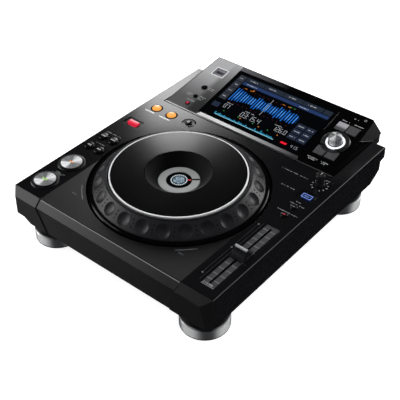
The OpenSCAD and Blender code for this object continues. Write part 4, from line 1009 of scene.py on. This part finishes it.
# %% Draw the speed knob's ticks and the lit edge
TICK_R = 9.8
speed_x, speed_y, speed_top = top_of("speed_knob")
speed_ticks = []
for turn in range(-60, 241, 30):
    dx, dy = polar(TICK_R, turn)
    speed_ticks.append(bar(speed_x + dx, speed_y + dy, 2.4, 0.8, turn))
outline_piece("speed_ticks", speed_ticks, ink_white)
outline_piece("speed_pointer", [bar(speed_x, speed_y + 2.4, 0.9, 4.6)], ink_white, body="speed_knob",
              up=speed_top - DECK_Z + 0.05)
mode_x, mode_y, mode_top = top_of("jog_mode_key")
edge = [bar(mode_x, mode_y + side * 3.5, 12.8, 0.6) for side in (-1, 1)]
edge += [bar(mode_x + side * 6.1, mode_y, 0.6, 6.4) for side in (-1, 1)]
outline_piece("mode_key_glow", edge, lit_blue_edge, body="jog_mode_key", up=mode_top - DECK_Z + 0.08)
print("speed knob rises", round(speed_top - DECK_Z, 1), "mm")

# %% [markdown]
# ## Studio
#
# The player stands on white paper before a white backdrop. Both glow a little, so no hard
# shadow lies beside the feet, and stay out of the reflections, so black plastic stays black.

# %% Build the floor and the backdrop
studio_white, tree, shader = new_material("studio_paper", "#e6e6e6", 0.9, Specular_IOR_Level=0.1)
shader.inputs["Emission Color"].default_value = linear("#ffffff")
shader.inputs["Emission Strength"].default_value = 0.90
ROOM_HALF = 4.0


def studio_piece(name, bm):
    """A part of the studio: seen and lit, but not mirrored."""
    mesh = bpy.data.meshes.new(name)
    bm.to_mesh(mesh)
    bm.free()
    mesh.materials.append(studio_white)
    piece = bpy.data.objects.new(name, mesh)
    bpy.context.scene.collection.objects.link(piece)
    piece.visible_glossy = False
    return piece


bm = bmesh.new()
bmesh.ops.create_grid(bm, x_segments=4, y_segments=4, size=ROOM_HALF)
studio_piece("studio_floor", bm)
bm = bmesh.new()
bmesh.ops.create_cone(bm, segments=48, radius1=ROOM_HALF, radius2=ROOM_HALF, depth=ROOM_HALF)
bmesh.ops.translate(bm, vec=(0, 0, ROOM_HALF / 2 - 0.01), verts=bm.verts)
studio_piece("studio_backdrop", bm).visible_diffuse = False
print("floor is", 2 * ROOM_HALF, "m wide")

# %% [markdown]
# ## Lights
#
# Black plastic shows little of its own colour: what the eye reads is the reflection of the
# lights. The key panel stands low behind the left rear corner, narrow and bright, with dimmer
# wings and a low panel at the same place. Its upper edge lies just above the line that the deck
# mirrors, so the deck and the touch plate brighten slowly towards that corner. A panel above
# lights the floor and stays out of the reflections. One at the left and one at the right draw
# the front's bevel and the edges, and two low cards light the feet, whose bright bands are
# painted into their colour. The room itself glows faintly from low on the left.

# %% Let the room glow
GLOW_FROM = Vector((-0.80, -0.20, -0.56)).normalized()
GLOW_EDGE, GLOW_FULL = 0.885, 0.975
world = bpy.data.worlds.new("studio_world")
bpy.context.scene.world = world
world.use_nodes = True
tree = world.node_tree
background = next(n for n in tree.nodes if n.type == "BACKGROUND")
background.inputs["Color"].default_value = linear("#ffffff")
towards = add(tree, "VectorMath", (add(tree, "TexCoord").outputs["Generated"], GLOW_FROM),
              operation="DOT_PRODUCT").outputs["Value"]
glow = add(tree, "MapRange", (towards, GLOW_EDGE, GLOW_FULL, 0.01, 0.22),
           interpolation_type="SMOOTHSTEP")
tree.links.new(glow.outputs["Result"], background.inputs["Strength"])
print("the glow reaches", round(math.degrees(math.acos(GLOW_EDGE))), "degrees from its middle")

# %% Hang the lights
def soft_light(name, place, aim, size, radiance):
    """A square or oblong panel of light, aimed at a point."""
    lamp = bpy.data.lights.new(name, "AREA")
    lamp.shape = "RECTANGLE"
    lamp.size, lamp.size_y = size
    lamp.energy = radiance * math.pi * size[0] * size[1]
    holder = bpy.data.objects.new(name, lamp)
    holder.location = place
    holder.rotation_mode = "QUATERNION"
    holder.rotation_quaternion = (Vector(aim) - Vector(place)).to_track_quat("-Z", "Y")
    holder.visible_camera = False
    bpy.context.scene.collection.objects.link(holder)
    return holder


KEY_AWAY = Vector((-0.64, 0.77, 0)) * 1.6
KEY_ACROSS = Vector((0.77, 0.64, 0))
KEY_TOP, KEY_TALL, KEY_NARROW, KEY_WIDE = 1.12, 0.96, 0.19, 0.36
LOW_TOP, LOW_TALL = 0.80, 0.6
key_foot = KEY_AWAY + KEY_ACROSS * -0.10
key_middle = key_foot + Vector((0, 0, KEY_TOP - KEY_TALL / 2))
wings_middle = key_middle + KEY_ACROSS * 0.04
low_middle = key_foot + Vector((0, 0, LOW_TOP - LOW_TALL / 2))
LAMPS = (
    ("key_panel", key_middle, key_middle - KEY_AWAY, (KEY_NARROW, KEY_TALL), 6.8),
    ("key_wings", wings_middle, wings_middle - KEY_AWAY, (KEY_WIDE, KEY_TALL), 2.7),
    ("low_key_panel", low_middle, low_middle - KEY_AWAY, (KEY_WIDE, LOW_TALL), 9.0),
    ("overhead_panel", (0.8, -0.2, 2.2), (0, -0.05, 0), (1.6, 1.6), 4.4),
    ("left_panel", (-1.22, -0.65, 0.99), (0, 0, 0.08), (0.8, 0.7), 3.5),
    ("right_strip", (0.62, 1.50, 0.62), (0, 0, 0.05), (0.7, 0.6), 4.0),
    ("low_left_card", (-0.87, -0.50, 0.19), (0, 0, 0.02), (0.42, 0.34), 5.0),
    ("low_right_card", (0.36, 0.97, 0.19), (0.05, 0, 0.02), (0.36, 0.34), 5.0),
)
lamps = {name: soft_light(name, *how) for name, *how in LAMPS}
lamps["overhead_panel"].visible_glossy = False
print("lights:", len(lamps))
